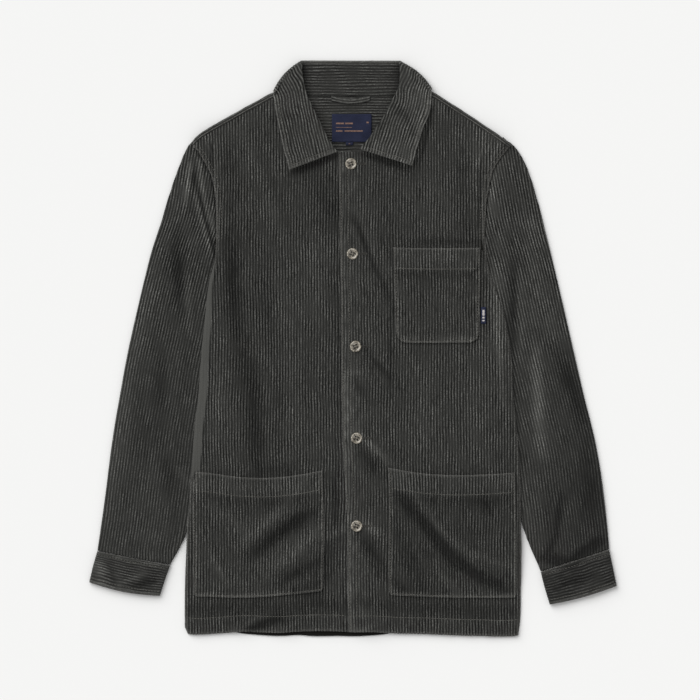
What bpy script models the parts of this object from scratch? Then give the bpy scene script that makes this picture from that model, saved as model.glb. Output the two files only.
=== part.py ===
# A corduroy chore overshirt laid flat on its back, front up.
# X runs to the right of the picture, Y towards the collar, Z up from the surface it lies on.
# Sizes below are millimetres; MM turns them into metres where points are placed.

import math

import bpy
import bmesh

MM = 0.001

# Cloth
WALL = 1.8              # wide-wale corduroy, pile included
COLLAR_WALL = 2.4       # two plies and a fusible
CUFF_WALL = 2.2
LABEL_WALL = 0.7
LOOP_WALL = 1.6
GAP = 0.3               # between pieces at a seam
REST = 0.7              # between a panel and what lies on it
YOKE_REST = 0.75        # between the two yokes

# Heights
CRUSH = 0.5             # hollow left in a sleeve where the body lies on it
SLEEVE_FLAT = 2 * WALL + CRUSH
SLEEVE_CROWN = 2.9
CROWN_FROM_EDGE = 30.0  # the crown rises over this much of the sleeve's width at its outer edge
CROWN_START = 8.0       # and starts this far from the body
CROWN_FROM_BODY = 28.0
LIFT = SLEEVE_FLAT + GAP + 0.2
LIFT_REACH = 42.0       # how far into the body the cloth takes to come down off the sleeve
PUFF = 2.0
SIDE_REACH = 34.0       # how far in from its side or shoulder a front comes up to its full height
HEM_REACH = 45.0        # the same from its hem
LAP_LIFT = 2.4          # the upper front rides this much higher over the lower one
LAP_START = 2.0         # beyond the lower front's edge
LAP_RAMP = 34.0
YOKE_RAMP_Y = 138.0     # the fronts start to climb on to the yokes here
YOKE_RAMP = 45.0
CUFF_CROWN = 0.6
CUFF_RADIUS = CUFF_WALL + 0.4
ROLL = 2.3              # inner radius of a panel's edge where it turns under
POCKET_GAPE = 1.6
POCKET_GAPE_START = 0.55       # share of a pocket's height where its mouth starts to stand off
FOLD_REACH = 1.6        # a fold fades out at this many half widths
FOLD_END = 0.35         # and its ends keep this share of its height
TURN_STEPS = 3          # faces round a turned edge
TUBE_STEPS = (4, 3, 4, 9)      # faces round a flat tube: outer edge, under, inner edge, top
GRIDS = {  # faces across and down each panel
    "back": (24, 18), "yoke_outer": (24, 6), "yoke_inner": (20, 6), "front_left": (18, 24),
    "front_right": (19, 24), "pocket_chest": (9, 9), "pocket_lower_left": (13, 9),
    "pocket_lower_right": (13, 9), "collar_fall": (6, 46), "collar_stand": (12, 7),
    "neck_label": (6, 4), "size_tab": (2, 2), "pocket_tab": (2, 4), "hanger_loop": (12, 1),
}
SLEEVE_ROWS = 20
CUFF_ROWS = 3

# Outline of the body where it lies on the sleeves, hem to shoulder tip
SIDE = (  # y, left_x, right_x
    (-393.3, -228.6, 229.8),
    (-347.8, -230.8, 232.2),
    (-278.8, -230.0, 233.2),
    (-209.8, -225.6, 232.3),
    (-107.6, -217.6, 227.0),
    (-19.3, -209.8, 219.5),
    (38.6, -204.0, 209.5),
    (92.5, -197.0, 194.0),
    (121.4, -190.0, 186.0),
    (150.0, -188.4, 183.5),
    (200.0, -189.2, 186.0),
    (223.0, -191.6, 189.5),
    (243.6, -198.0, 195.5),
    (258.5, -206.3, 203.0),
    (271.0, -213.2, 211.0),
    (281.0, -221.0, 220.0),
)
SHOULDER = (  # x, y of the top outline, from shoulder tip to shoulder tip
    (-221.5, 279.5),
    (-202.2, 300.8),
    (-174.6, 317.4),
    (-145.6, 334.0),
    (-115.2, 350.5),
    (115.2, 350.5),
    (140.1, 334.0),
    (166.3, 317.4),
    (189.7, 300.8),
    (220.5, 279.5),
)
NECKLINE = (  # distance from the middle, y of the fronts' neck edge under the collar
    (0.0, 270.3),
    (20.0, 270.8),
    (40.0, 279.0),
    (60.0, 294.0),
    (80.0, 313.0),
    (98.0, 336.0),
    (108.0, 350.5),
)
NECK_HALF = 104.0
NECK_BLEND = 8.0        # the shoulder's turned edge fades out over this much beside the neck
HEM_Y = -391.0
HEM_WAVE = (  # x, how far below HEM_Y the hem edge hangs
    (-231.0, 2.4),
    (-172.0, 1.2),
    (-56.0, 0.4),
    (-5.0, 1.2),
    (67.0, 2.7),
    (160.0, 5.1),
    (222.0, 6.2),
    (233.0, 3.0),
)
BACK_INSET = WALL + 2.6   # the back's side edge lies inside the fronts' turned edge
BACK_HEM_DROP = 2.6     # the back shows this far below the fronts in the middle
BACK_CORNER = 4.0       # and its corners hang this much shorter, over the last quarter of its half width
BACK_CORNER_START = 0.75
BACK_SPREAD = 0.8       # power that brings the back's columns closer at its sides
YOKE_SEAM_Y = 190.0     # the back ends here and the outer yoke starts
YOKE_HALF = 216.0
YOKE_INNER_HALF = 196.0
YOKE_INNER_Y = 188.0
YOKE_INNER_INSET = 9.0  # inside the body's side
YOKE_INNER_DROP = 10.0  # below the shoulder line
NECK_CORNER_X = 108.0   # the yokes are cut away a little under the collar's corner
NECK_CORNER_DROP = 4.0
NECK_CORNER_WIDTH = 16.0
NECK_SLOPE = 20.0       # the yokes' top leaves the stand and reaches the shoulder line over this much
LAP_EDGE = (  # y, x of the edge that laps over
    (-393.0, -4.8),
    (-262.0, -7.0),
    (-156.0, -12.1),
    (-72.0, -14.5),
    (-44.0, -15.2),
    (273.0, -20.0),
)
UNDERLAP_X = 27.0       # how far the lower front reaches under the upper one

# The hidden edge of each sleeve: shoulder, armpit, the crotch where it comes out, cuff seam
SLEEVE_INNER = (  # side, x, y
    (-1, -208.0, 292.0), (-1, -147.0, 118.7), (-1, -228.4, -252.5), (-1, -251.4, -299.2),
    (1, 205.0, 290.0), (1, 147.0, 118.7), (1, 232.5, -243.0), (1, 259.7, -308.2),
)
SLEEVE_LEFT = (  # outer_x, outer_y, inner_x, inner_y
    (-211.0, 292.0, -147.0, 118.7),
    (-237.0, 253.5, -151.9, 96.4),
    (-250.5, 218.0, -158.4, 66.7),
    (-276.7, 135.2, -174.7, -7.5),
    (-308.4, 2.8, -197.5, -111.4),
    (-331.9, -129.7, -216.9, -200.0),
    (-344.2, -222.0, -228.4, -252.5),
    (-352.0, -279.7, -251.4, -299.2),
)
SLEEVE_RIGHT = (
    (208.5, 291.0, 147.0, 118.7),
    (238.5, 253.5, 152.2, 96.7),
    (251.3, 218.0, 159.0, 67.6),
    (274.5, 130.0, 175.8, -5.1),
    (306.0, -10.0, 200.0, -105.3),
    (334.8, -129.7, 220.5, -192.0),
    (347.8, -222.0, 232.5, -243.0),
    (354.2, -277.4, 259.7, -308.2),
)
CUFF_LEFT = (
    (-352.4, -280.3, -251.5, -299.9),
    (-357.5, -298.0, -256.0, -317.0),
    (-363.6, -323.2, -265.6, -342.1),
)
CUFF_RIGHT = (
    (354.3, -278.0, 259.9, -308.9),
    (359.6, -303.0, 265.0, -331.0),
    (364.8, -328.4, 272.4, -354.1),
)
CUFF_BOW = 6.0          # how far the cuff's middle hangs below its corners

COLLAR = (  # roll_x, roll_y, edge_x, edge_y, turn in degrees: 0 on top, 180 underneath
    (-20.4, 270.9, -87.6, 245.6, 0),
    (-27.5, 280.0, -91.0, 258.0, 0),
    (-34.6, 291.2, -94.5, 271.9, 0),
    (-45.7, 314.6, -101.4, 303.6, 0),
    (-56.0, 335.0, -106.5, 332.6, 0),
    (-64.7, 356.0, -108.0, 347.0, 0),
    (-69.0, 380.0, -106.5, 351.5, 0),
    (-69.5, 390.0, -105.0, 353.5, 0),
    (-69.5, 390.0, -105.0, 353.5, 45),
    (-69.5, 390.0, -105.0, 353.5, 90),
    (-69.5, 390.0, -105.0, 353.5, 135),
    (-69.5, 390.0, -105.0, 353.5, 180),
    (-62.0, 391.0, -88.0, 352.5, 180),
    (-40.0, 391.5, -50.0, 352.0, 180),
    (0.0, 391.8, 0.0, 352.0, 180),
    (38.0, 391.5, 50.0, 352.0, 180),
    (59.0, 391.0, 88.0, 352.5, 180),
    (67.0, 389.5, 105.0, 353.5, 180),
    (67.0, 389.5, 105.0, 353.5, 135),
    (67.0, 389.5, 105.0, 353.5, 90),
    (67.0, 389.5, 105.0, 353.5, 45),
    (67.0, 389.5, 105.0, 353.5, 0),
    (66.0, 380.0, 106.5, 351.5, 0),
    (64.2, 361.0, 108.4, 346.0, 0),
    (54.5, 342.0, 105.5, 325.5, 0),
    (44.6, 322.5, 97.9, 303.6, 0),
    (25.5, 293.9, 89.0, 275.0, 0),
    (17.0, 283.5, 85.5, 262.5, 0),
    (9.7, 274.6, 82.5, 251.2, 0),
)
COLLAR_OUTWARD = (0.72, 0.69)  # direction, x away from the middle and y, in which the collar turns over
COLLAR_BULGE = 4.0      # how far the shoulder of the collar bows outwards
BULGE_FROM_Y = 352.0    # where along the roll line the bow starts, and how soon it is full
BULGE_REACH = 30.0
WRAP_FROM_X = 40.0      # the same behind the neck
WRAP_REACH = 40.0
STAND_HALF = 67.0
STAND_SEAM_Y = 348.1
YOKE_TOP_Y = STAND_SEAM_Y - 0.5
STAND_TOP_Y = 396.9
STAND_LOFT = 0.4

POCKETS = (  # name, left, right, top_left, top_middle, top_right, bottom, corner
    ("pocket_chest", 56.0, 176.6, 139.0, 138.0, 138.3, 6.9, 9.0),
    ("pocket_lower_left", -219.0, -39.5, -170.4, -179.1, -168.8, -343.6, 4.0),
    ("pocket_lower_right", 50.1, 228.0, -165.2, -175.3, -171.7, -343.6, 4.0),
)

# Folds pressed into the fronts: soft ridges (+) and troughs (-)
FRONT_FOLDS = (  # x1, y1, x2, y2, half_width, height
    (-59.0, -222.0, -159.0, -305.0, 13.0, -0.9),
    (-32.0, -265.0, -99.0, -326.0, 12.0, -0.7),
    (59.0, -193.0, 187.0, -323.0, 14.0, -0.9),
    (16.0, -223.0, 79.0, -290.0, 12.0, 0.8),
    (18.0, -124.0, 48.0, -156.0, 10.0, 0.8),
    (16.0, -244.0, 48.0, -271.0, 10.0, 0.8),
    (-70.0, 120.0, -62.0, -60.0, 17.0, 0.6),
    (-120.0, 40.0, -112.0, -120.0, 17.0, -0.6),
    (110.0, -20.0, 118.0, -140.0, 16.0, 0.6),
    (-150.0, 270.0, -140.0, 140.0, 18.0, 0.6),
    (150.0, 262.0, 143.0, 160.0, 18.0, 0.6),
)
SLEEVE_FOLDS = (  # x1, y1, x2, y2, half_width, height
    (-213.0, 262.0, -205.0, 175.0, 8.0, 1.0),
    (-222.0, 215.0, -214.0, 110.0, 9.0, 1.0),
    (-268.0, 120.0, -240.0, 60.0, 15.0, -0.8),
    (-300.0, -10.0, -255.0, -60.0, 14.0, 0.8),
    (-315.0, -110.0, -262.0, -165.0, 14.0, -0.8),
    (-330.0, -205.0, -270.0, -240.0, 12.0, 0.8),
    (222.0, 92.0, 221.0, 14.0, 11.0, -0.9),
    (262.0, 130.0, 240.0, 66.0, 15.0, 0.8),
    (298.0, -5.0, 256.0, -52.0, 14.0, 0.8),
    (314.0, -100.0, 262.0, -150.0, 14.0, -0.8),
    (334.0, -205.0, 272.0, -245.0, 12.0, 0.8),
)

BUTTONS = (  # x, y
    (-2.1, 254.3), (0.0, 130.0), (4.3, 2.2), (5.8, -124.5), (5.8, -245.8),
)
BUTTON_RADIUS = 7.8
BUTTON_HOLE_RADIUS = 0.95
BUTTON_HOLE_OFFSET = 1.75
BUTTON_STEPS = 16
DRILL_SEGMENTS = 6
DRILL_DEPTH = 8.0
DRILL_MIDDLE = 1.2
BUTTON_PROFILE = (  # radius, height, from the middle of the face out and under
    (0.0, 1.7), (3.9, 1.75), (5.3, 2.3), (6.6, 2.7), (7.5, 2.3),
    (7.8, 1.4), (6.9, 0.4), (5.0, 0.0), (0.0, 0.0),
)

LABEL = (-28.3, 284.3, 26.4, 322.9)        # x1, y1, x2, y2
SIZE_TAB = (-9.2, 279.6, 1.0, 283.9)
POCKET_TAB = (177.3, 33.5, 184.4, 56.6)
LOOP_ENDS = (-29.1, 24.0)
LOOP_Y = 343.6
LOOP_SAG = 6.5
LOOP_WIDTH = 6.4

CLOTH = (0.040, 0.040, 0.036)
NAVY = (0.012, 0.018, 0.045)
HORN = (0.20, 0.175, 0.145)


# Reading the tables

def smooth(t):
    t = min(max(t, 0.0), 1.0)
    return t * t * (3 - 2 * t)


def read(table, key, column):
    """A smooth curve through one column of a table, by its first column."""
    rows = sorted(table)
    if key <= rows[0][0]:
        return rows[0][column]
    if key >= rows[-1][0]:
        return rows[-1][column]
    i = max(k for k in range(len(rows) - 1) if rows[k][0] <= key)
    x0, x1 = rows[i][0], rows[i + 1][0]
    y0, y1 = rows[i][column], rows[i + 1][column]

    def slope(k):
        a, b = rows[max(k - 1, 0)], rows[min(k + 1, len(rows) - 1)]
        return (b[column] - a[column]) / (b[0] - a[0])

    t = (key - x0) / (x1 - x0)
    h = x1 - x0
    return (
        (2 * t**3 - 3 * t**2 + 1) * y0
        + (t**3 - 2 * t**2 + t) * h * slope(i)
        + (-2 * t**3 + 3 * t**2) * y1
        + (t**3 - t**2) * h * slope(i + 1)
    )


def blend_rows(table, t):
    """Every column of a table at t from 0, its first row, to 1, its last."""
    place = t * (len(table) - 1)
    keyed = [(k,) + row for k, row in enumerate(table)]
    return [read(keyed, place, c + 1) for c in range(len(table[0]))]


def side_x(side, y):
    return read(SIDE, y, 1 if side < 0 else 2)


def shoulder_y(x):
    i = max([k for k in range(len(SHOULDER) - 1) if SHOULDER[k][0] <= x] or [0])
    (x0, y0), (x1, y1) = SHOULDER[i], SHOULDER[i + 1]
    return y0 + (y1 - y0) * min(max((x - x0) / (x1 - x0), 0.0), 1.0)


def hem_y(x):
    return HEM_Y - read(HEM_WAVE, x, 1)


def segment_distance(x, y, x1, y1, x2, y2):
    """How far a point is from a segment, and how far along it, 0 to 1."""
    dx, dy = x2 - x1, y2 - y1
    t = min(max(((x - x1) * dx + (y - y1) * dy) / (dx * dx + dy * dy), 0.0), 1.0)
    return math.hypot(x - x1 - t * dx, y - y1 - t * dy), t


def folds(table, x, y):
    total = 0.0
    for x1, y1, x2, y2, half_width, height in table:
        away, t = segment_distance(x, y, x1, y1, x2, y2)
        along = FOLD_END + (1 - FOLD_END) * math.sin(math.pi * t)
        total += height * along * smooth(1 - away / (FOLD_REACH * half_width))
    return total


# Heights of the layers, all of them the underside of a piece

def lift(x, y):
    """The body rides up over the hidden edge of each sleeve."""
    side = -1 if x < 0 else 1
    line = [(px, py) for s, px, py in SLEEVE_INNER if s == side]
    away = min(
        segment_distance(x, y, *line[k], *line[k + 1])[0] for k in range(len(line) - 1)
    )
    crossing = line[0][0]
    for (x1, y1), (x2, y2) in zip(line, line[1:]):
        if y2 <= y <= y1:
            crossing = x1 + (x2 - x1) * (y1 - y) / (y1 - y2)
    if y < line[-1][1]:
        crossing = line[-1][0]
    if (x - crossing) * side > 0:
        away = 0.0
    return LIFT * (1 - smooth((away - 2.0) / LIFT_REACH))


def yoke_stack(y):
    """The fronts lie on two yokes at the top and on the back alone below."""
    return (WALL + YOKE_REST) * smooth((y - YOKE_RAMP_Y) / YOKE_RAMP)


def edge_rise(side, x, y):
    """0 at a front's side, hem or shoulder, and 1 well inside it."""
    inside = min(x - side_x(-1, y), side_x(1, y) - x) / SIDE_REACH
    low = (y - hem_y(x)) / HEM_REACH
    high = (shoulder_y(x) - y) / SIDE_REACH
    return smooth(inside) * smooth(low) * smooth(high)


def front_height(side, x, y):
    """Underside of a front, without the turn at its edges."""
    rise = edge_rise(side, x, y)
    base = lift(x, y) + WALL + REST + yoke_stack(y)
    loose = rise * (PUFF + folds(FRONT_FOLDS, x, y))
    lap = 0.0
    if side > 0:
        lap = LAP_LIFT * (1 - smooth((x - UNDERLAP_X - LAP_START) / LAP_RAMP))
    return base + loose + lap


def sleeve_edge(side, y):
    """X of the sleeve's outer edge."""
    table = SLEEVE_LEFT if side < 0 else SLEEVE_RIGHT
    return read([(row[1], row[0]) for row in table], y, 1)


def sleeve_inside(side, y):
    """X where the sleeve goes under the body, or of its own inner edge lower down."""
    line = [(py, px) for s, px, py in SLEEVE_INNER if s == side][2:]
    if y > line[0][0]:
        return side_x(side, y)
    return read(line, y, 1)


def sleeve_crown(side, x, y):
    out = (sleeve_edge(side, y) - x) * side
    inn = (x - sleeve_inside(side, y)) * side
    rise = smooth(out / CROWN_FROM_EDGE) * smooth((inn - CROWN_START) / CROWN_FROM_BODY)
    return rise * (SLEEVE_CROWN + folds(SLEEVE_FOLDS, x, y))


# Building

def cloth_material(name, colour, roughness):
    material = bpy.data.materials.get(name)
    if material is None:
        material = bpy.data.materials.new(name)
        material.use_nodes = True
        shader = material.node_tree.nodes["Principled BSDF"]
        shader.inputs["Base Color"].default_value = (*colour, 1.0)
        shader.inputs["Roughness"].default_value = roughness
        shader.inputs["Metallic"].default_value = 0.0
    return material


def add_object(name, bm, material):
    mesh = bpy.data.meshes.new(name)
    bm.to_mesh(mesh)
    bm.free()
    mesh.shade_smooth()
    mesh.materials.append(material)
    obj = bpy.data.objects.new(name, mesh)
    garment.objects.link(obj)
    return obj


def mapped_grid(columns, rows, point, closed=False):
    """A grid whose corners run from (0, 0) to (1, 1), moved to point(u, v)."""
    bm = bmesh.new()
    bmesh.ops.create_grid(bm, x_segments=columns, y_segments=rows, size=1.0)
    for vertex in bm.verts:
        u, v = (vertex.co.x + 1) / 2, (vertex.co.y + 1) / 2
        vertex.co = [c * MM for c in point(u, v)]
    if closed:
        bmesh.ops.remove_doubles(bm, verts=bm.verts, dist=1e-6)
    return bm


def sheet(name, columns, rows, point, wall, material, closed=False, inwards=False):
    """A wall of cloth on a mapped grid: upwards from its underside, or inwards from its face."""
    obj = add_object(name, mapped_grid(columns, rows, point, closed), material)
    shell = obj.modifiers.new("Wall", "SOLIDIFY")
    shell.thickness = wall * MM
    shell.offset = -1.0 if inwards else 1.0
    shell.use_even_offset = True
    return obj


def turned_steps(t, inner, reach, turn=ROLL, steps=TURN_STEPS):
    """Spread t over a width: the first part goes round the turned edge, the rest is even.
    Gives the distance from the edge and the sine of how far round it has come."""
    if t * inner < steps:
        angle = t * inner / steps * math.pi / 2
        return turn * (1 - math.cos(angle)), math.sin(angle)
    share = (t * inner - steps) / (inner - steps)
    return turn + (reach - turn) * share, 1.0


# The body

def make_back():
    low = hem_y(0) - BACK_HEM_DROP

    def point(u, v):
        y = low + (YOKE_SEAM_Y - low) * v
        near = abs(2 * u - 1)
        x1, x2 = side_x(-1, y) + BACK_INSET, side_x(1, y) - BACK_INSET
        spread = 0.5 + math.copysign(0.5 * near**BACK_SPREAD, 2 * u - 1)
        x = x1 + (x2 - x1) * spread
        corner = smooth((near - BACK_CORNER_START) / (1 - BACK_CORNER_START))
        y += (1 - v) ** 4 * BACK_CORNER * corner
        return x, y, lift(x, y)

    return sheet("back", *GRIDS["back"], point, WALL, cloth)


def neck_top(x, inset):
    """Top edge of a yoke: the neck seam in the middle, inside the shoulder line beside it."""
    away = (abs(x) - NECK_CORNER_X) / NECK_CORNER_WIDTH
    low = shoulder_y(x) - inset - NECK_CORNER_DROP * math.exp(-(away**2))
    return YOKE_TOP_Y + (low - YOKE_TOP_Y) * smooth((abs(x) - STAND_HALF) / NECK_SLOPE)


def make_yoke_outer():
    low = YOKE_SEAM_Y + GAP

    def point(u, v):
        x = (2 * u - 1) * YOKE_HALF
        for _ in range(3):
            y = low + (neck_top(x, BACK_INSET) - low) * v
            left, right = side_x(-1, y) + BACK_INSET, side_x(1, y) - BACK_INSET
            x = left + (right - left) * u
        return x, y, lift(x, y)

    return sheet("yoke_outer", *GRIDS["yoke_outer"], point, WALL, cloth)


def make_yoke_inner():
    def point(u, v):
        top = neck_top((2 * u - 1) * YOKE_INNER_HALF, YOKE_INNER_DROP)
        y = YOKE_INNER_Y + (top - YOKE_INNER_Y) * v
        limit = min(side_x(1, y), -side_x(-1, y)) - YOKE_INNER_INSET
        x = (2 * u - 1) * min(YOKE_INNER_HALF, limit)
        return x, y, lift(x, y) + WALL + YOKE_REST

    return sheet("yoke_inner", *GRIDS["yoke_inner"], point, WALL, cloth)


def front_top_y(side, x):
    """Y of a front's top outline: the shoulder, then down the neckline."""
    if abs(x) > NECKLINE[-1][0]:
        return shoulder_y(x) - WALL
    return min(read(NECKLINE, abs(x), 1), shoulder_y(x) - WALL)


def make_front(name, side, inner_x):
    """A front, turned under along its side and its shoulder."""
    columns, rows = GRIDS[name]

    def point(u, v):
        across = 1 - u if side > 0 else u
        down = 1 - v
        x, y = 0.0, 0.0
        for _ in range(4):
            edge = side_x(side, y) - side * WALL
            width = abs(inner_x(y) - edge)
            out, side_sine = turned_steps(across, columns, width)
            x = edge - side * out
            top = front_top_y(side, x)
            height = top - hem_y(x)
            out, top_sine = turned_steps(down, rows, height)
            y = top - out
        shoulder_share = smooth((abs(x) - NECK_HALF) / NECK_BLEND)
        top_sine = 1 - (1 - top_sine) * shoulder_share
        full = front_height(side, x, y)
        low = lift(x, y) + GAP
        return x, y, low + (full - low) * min(side_sine, top_sine)

    return sheet(name, columns, rows, point, WALL, cloth)


def make_fronts():
    make_front("front_left", -1, lambda y: UNDERLAP_X)
    make_front("front_right", 1, lambda y: read(LAP_EDGE, y, 1))


# Pockets

def make_pocket(name, left, right, top_left, top_middle, top_right, bottom, corner):
    side = -1 if left < 0 else 1
    columns, rows = GRIDS[name]

    def point(u, v):
        s = 2 * u - 1
        top = top_middle * (1 - s * s) + (top_left * (1 - u) + top_right * u) * s * s
        inset = corner * max(0.0, 1 - v * rows) ** 2 * abs(s) ** 6
        x = left + (right - left) * u - s * inset
        base = bottom + corner * 0.5 * abs(s) ** 8
        y = base + (top - base) * v
        gape = POCKET_GAPE * (1 - s * s) * smooth((v - POCKET_GAPE_START) / (1 - POCKET_GAPE_START))
        return x, y, front_height(side, x, y) + WALL + REST + gape

    return sheet(name, columns, rows, point, WALL, cloth)


def make_pockets():
    for row in POCKETS:
        make_pocket(*row)


# Sleeves and cuffs

def tube_point(a, b, u, radius, crown):
    """A point round a flat tube from edge a, under, round edge b and back on top.
    u runs once round; each edge is a half circle of the given radius."""
    length = math.hypot(b[0] - a[0], b[1] - a[1])
    dx, dy = (b[0] - a[0]) / length, (b[1] - a[1]) / length
    step = u * sum(TUBE_STEPS)
    edge_a, under, edge_b, top = TUBE_STEPS
    if step <= edge_a:
        angle = math.pi * step / edge_a
        along, z = radius - radius * math.sin(angle), radius + radius * math.cos(angle)
    elif step <= edge_a + under:
        along, z = radius + (length - 2 * radius) * (step - edge_a) / under, 0.0
    elif step <= edge_a + under + edge_b:
        angle = math.pi * (step - edge_a - under) / edge_b
        along, z = length - radius + radius * math.sin(angle), radius - radius * math.cos(angle)
    else:
        share = (step - edge_a - under - edge_b) / top
        along, z = length - radius - (length - 2 * radius) * share, 2 * radius
    x, y = a[0] + dx * along, a[1] + dy * along
    if z > radius:
        z += crown(x, y) * (z - radius) / radius
    return x, y, z


def make_tube(name, table, side, wall, radius, rows, crown, bow=0.0):
    def point(u, v):
        outer_x, outer_y, inner_x, inner_y = blend_rows(table, 1 - v)
        x, y, z = tube_point(
            (outer_x, outer_y), (inner_x, inner_y), 1 - u if side < 0 else u, radius, crown
        )
        width = abs(inner_x - outer_x)
        t = abs(x - outer_x) / width
        y -= bow * (1 - v) * math.sin(math.pi * min(t, 1.0))
        return x, y, z

    columns = sum(TUBE_STEPS)
    return sheet(name, columns, rows, point, wall, cloth, closed=True, inwards=True)


def make_sleeves():
    radius = SLEEVE_FLAT / 2
    for name, table, side in (
        ("sleeve_left", SLEEVE_LEFT, -1),
        ("sleeve_right", SLEEVE_RIGHT, 1),
    ):
        make_tube(name, table, side, WALL, radius, SLEEVE_ROWS, lambda x, y, s=side: sleeve_crown(s, x, y))
    for name, table, side in (("cuff_left", CUFF_LEFT, -1), ("cuff_right", CUFF_RIGHT, 1)):
        make_tube(name, table, side, CUFF_WALL, CUFF_RADIUS, CUFF_ROWS, lambda x, y: CUFF_CROWN, CUFF_BOW)


# Collar

def leaf_height(x, y):
    """Outer face of a collar leaf over the front beneath it."""
    side = -1 if x < 0 else 1
    return front_height(side, x, min(y, shoulder_y(x))) + WALL + REST + COLLAR_WALL


def make_collar_fall():
    out_x, out_y = COLLAR_OUTWARD

    def point(u, v):
        roll_x, roll_y, edge_x, edge_y, turn = blend_rows(COLLAR, v)
        turn = math.radians(min(max(turn, 0.0), 180.0))
        x, y = roll_x + (edge_x - roll_x) * u, roll_y + (edge_y - roll_y) * u
        bulge = COLLAR_BULGE * 4 * u * (1 - u) * smooth((roll_y - BULGE_FROM_Y) / BULGE_REACH)
        radius = leaf_height(x, y) / 2
        push = radius * math.sin(turn) + bulge * smooth((abs(x) - WRAP_FROM_X) / WRAP_REACH)
        return x + math.copysign(out_x, x) * push, y + out_y * push, radius + radius * math.cos(turn)

    return sheet("collar_fall", *GRIDS["collar_fall"], point, COLLAR_WALL, cloth)


def make_collar_stand():
    rows = GRIDS["collar_stand"][1]
    reach = STAND_TOP_Y - WALL - STAND_SEAM_Y

    def point(u, v):
        x = (2 * u - 1) * STAND_HALF
        out, sine = turned_steps(1 - v, rows, reach)
        y = STAND_TOP_Y - WALL - out
        return x, y, GAP + (COLLAR_WALL + STAND_LOFT) * sine

    return sheet("collar_stand", *GRIDS["collar_stand"], point, WALL, cloth)


# Small pieces

def make_patch(name, box, z, wall, material):
    x1, y1, x2, y2 = box

    def point(u, v):
        x, y = x1 + (x2 - x1) * u, y1 + (y2 - y1) * v
        return x, y, z(x, y)

    return sheet(name, *GRIDS[name], point, wall, material)


def make_labels():
    yoke_face = 2 * WALL + YOKE_REST + GAP
    make_patch("neck_label", LABEL, lambda x, y: yoke_face, LABEL_WALL, navy)
    make_patch("size_tab", SIZE_TAB, lambda x, y: yoke_face, LABEL_WALL, navy)
    make_patch("pocket_tab", POCKET_TAB, lambda x, y: front_height(1, x, y) + WALL + REST, LABEL_WALL, navy)


def make_hanger_loop():
    z = 2 * WALL + YOKE_REST + GAP

    def point(u, v):
        x = LOOP_ENDS[0] + (LOOP_ENDS[1] - LOOP_ENDS[0]) * u
        sag = LOOP_SAG * math.sin(math.pi * u)
        return x, LOOP_Y - sag + LOOP_WIDTH * (v - 0.5), z

    return sheet("hanger_loop", *GRIDS["hanger_loop"], point, LOOP_WALL, cloth)


def make_button_mesh():
    """A turned disc with a raised rim, drilled with four holes."""
    bm = bmesh.new()
    ring = [bm.verts.new((r * MM, 0.0, z * MM)) for r, z in BUTTON_PROFILE]
    for a, b in zip(ring, ring[1:]):
        bm.edges.new((a, b))
    disc = add_object("button_blank", bm, horn)
    turning = disc.modifiers.new("Turn", "SCREW")
    turning.steps = BUTTON_STEPS
    turning.render_steps = BUTTON_STEPS
    turning.use_merge_vertices = True
    turning.merge_threshold = 0.00005
    drill = bmesh.new()
    for x in (-BUTTON_HOLE_OFFSET, BUTTON_HOLE_OFFSET):
        for y in (-BUTTON_HOLE_OFFSET, BUTTON_HOLE_OFFSET):
            made = bmesh.ops.create_cone(
                drill, cap_ends=True, segments=DRILL_SEGMENTS, radius1=BUTTON_HOLE_RADIUS * MM,
                radius2=BUTTON_HOLE_RADIUS * MM, depth=DRILL_DEPTH * MM,
            )
            bmesh.ops.translate(drill, verts=made["verts"], vec=(x * MM, y * MM, DRILL_MIDDLE * MM))
    holes = add_object("button_holes", drill, horn)
    cut = disc.modifiers.new("Holes", "BOOLEAN")
    cut.object = holes
    graph = bpy.context.evaluated_depsgraph_get()
    mesh = bpy.data.meshes.new_from_object(disc.evaluated_get(graph))
    bpy.data.objects.remove(disc)
    bpy.data.objects.remove(holes)
    return mesh


def make_buttons():
    mesh = make_button_mesh()
    for k, (x, y) in enumerate(BUTTONS):
        obj = bpy.data.objects.new(f"button_{k + 1}", mesh)
        around = [(0, 0), (BUTTON_RADIUS, 0), (-BUTTON_RADIUS, 0), (0, BUTTON_RADIUS), (0, -BUTTON_RADIUS)]
        seat = max(front_height(1, x + dx, y + dy) for dx, dy in around) + WALL + GAP
        obj.location = (x * MM, y * MM, seat * MM)
        garment.objects.link(obj)


for old in list(bpy.data.objects):
    bpy.data.objects.remove(old)

garment = bpy.data.collections.new("shacket")
bpy.context.scene.collection.children.link(garment)
cloth = cloth_material("corduroy", CLOTH, 0.95)
navy = cloth_material("woven label", NAVY, 0.8)
horn = cloth_material("button", HORN, 0.35)

make_back()
make_yoke_outer()
make_yoke_inner()
make_fronts()
make_pockets()
make_sleeves()
make_collar_fall()
make_collar_stand()
make_labels()
make_hanger_loop()
make_buttons()
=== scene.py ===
import math
import random

import bmesh
import bpy
import numpy as np
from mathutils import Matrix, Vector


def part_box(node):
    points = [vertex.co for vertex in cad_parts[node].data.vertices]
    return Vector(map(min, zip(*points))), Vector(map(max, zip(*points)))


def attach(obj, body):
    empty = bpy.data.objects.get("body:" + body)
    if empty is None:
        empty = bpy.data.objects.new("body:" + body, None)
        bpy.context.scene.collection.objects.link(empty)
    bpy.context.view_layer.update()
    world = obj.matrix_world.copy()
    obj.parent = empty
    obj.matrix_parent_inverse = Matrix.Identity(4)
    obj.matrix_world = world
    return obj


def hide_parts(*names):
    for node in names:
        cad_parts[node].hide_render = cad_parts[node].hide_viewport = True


# A wide-wale corduroy overshirt, laid flat and buttoned up.
# Lengths are millimetres from the middle of the garment; mm turns them into metres.

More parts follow.
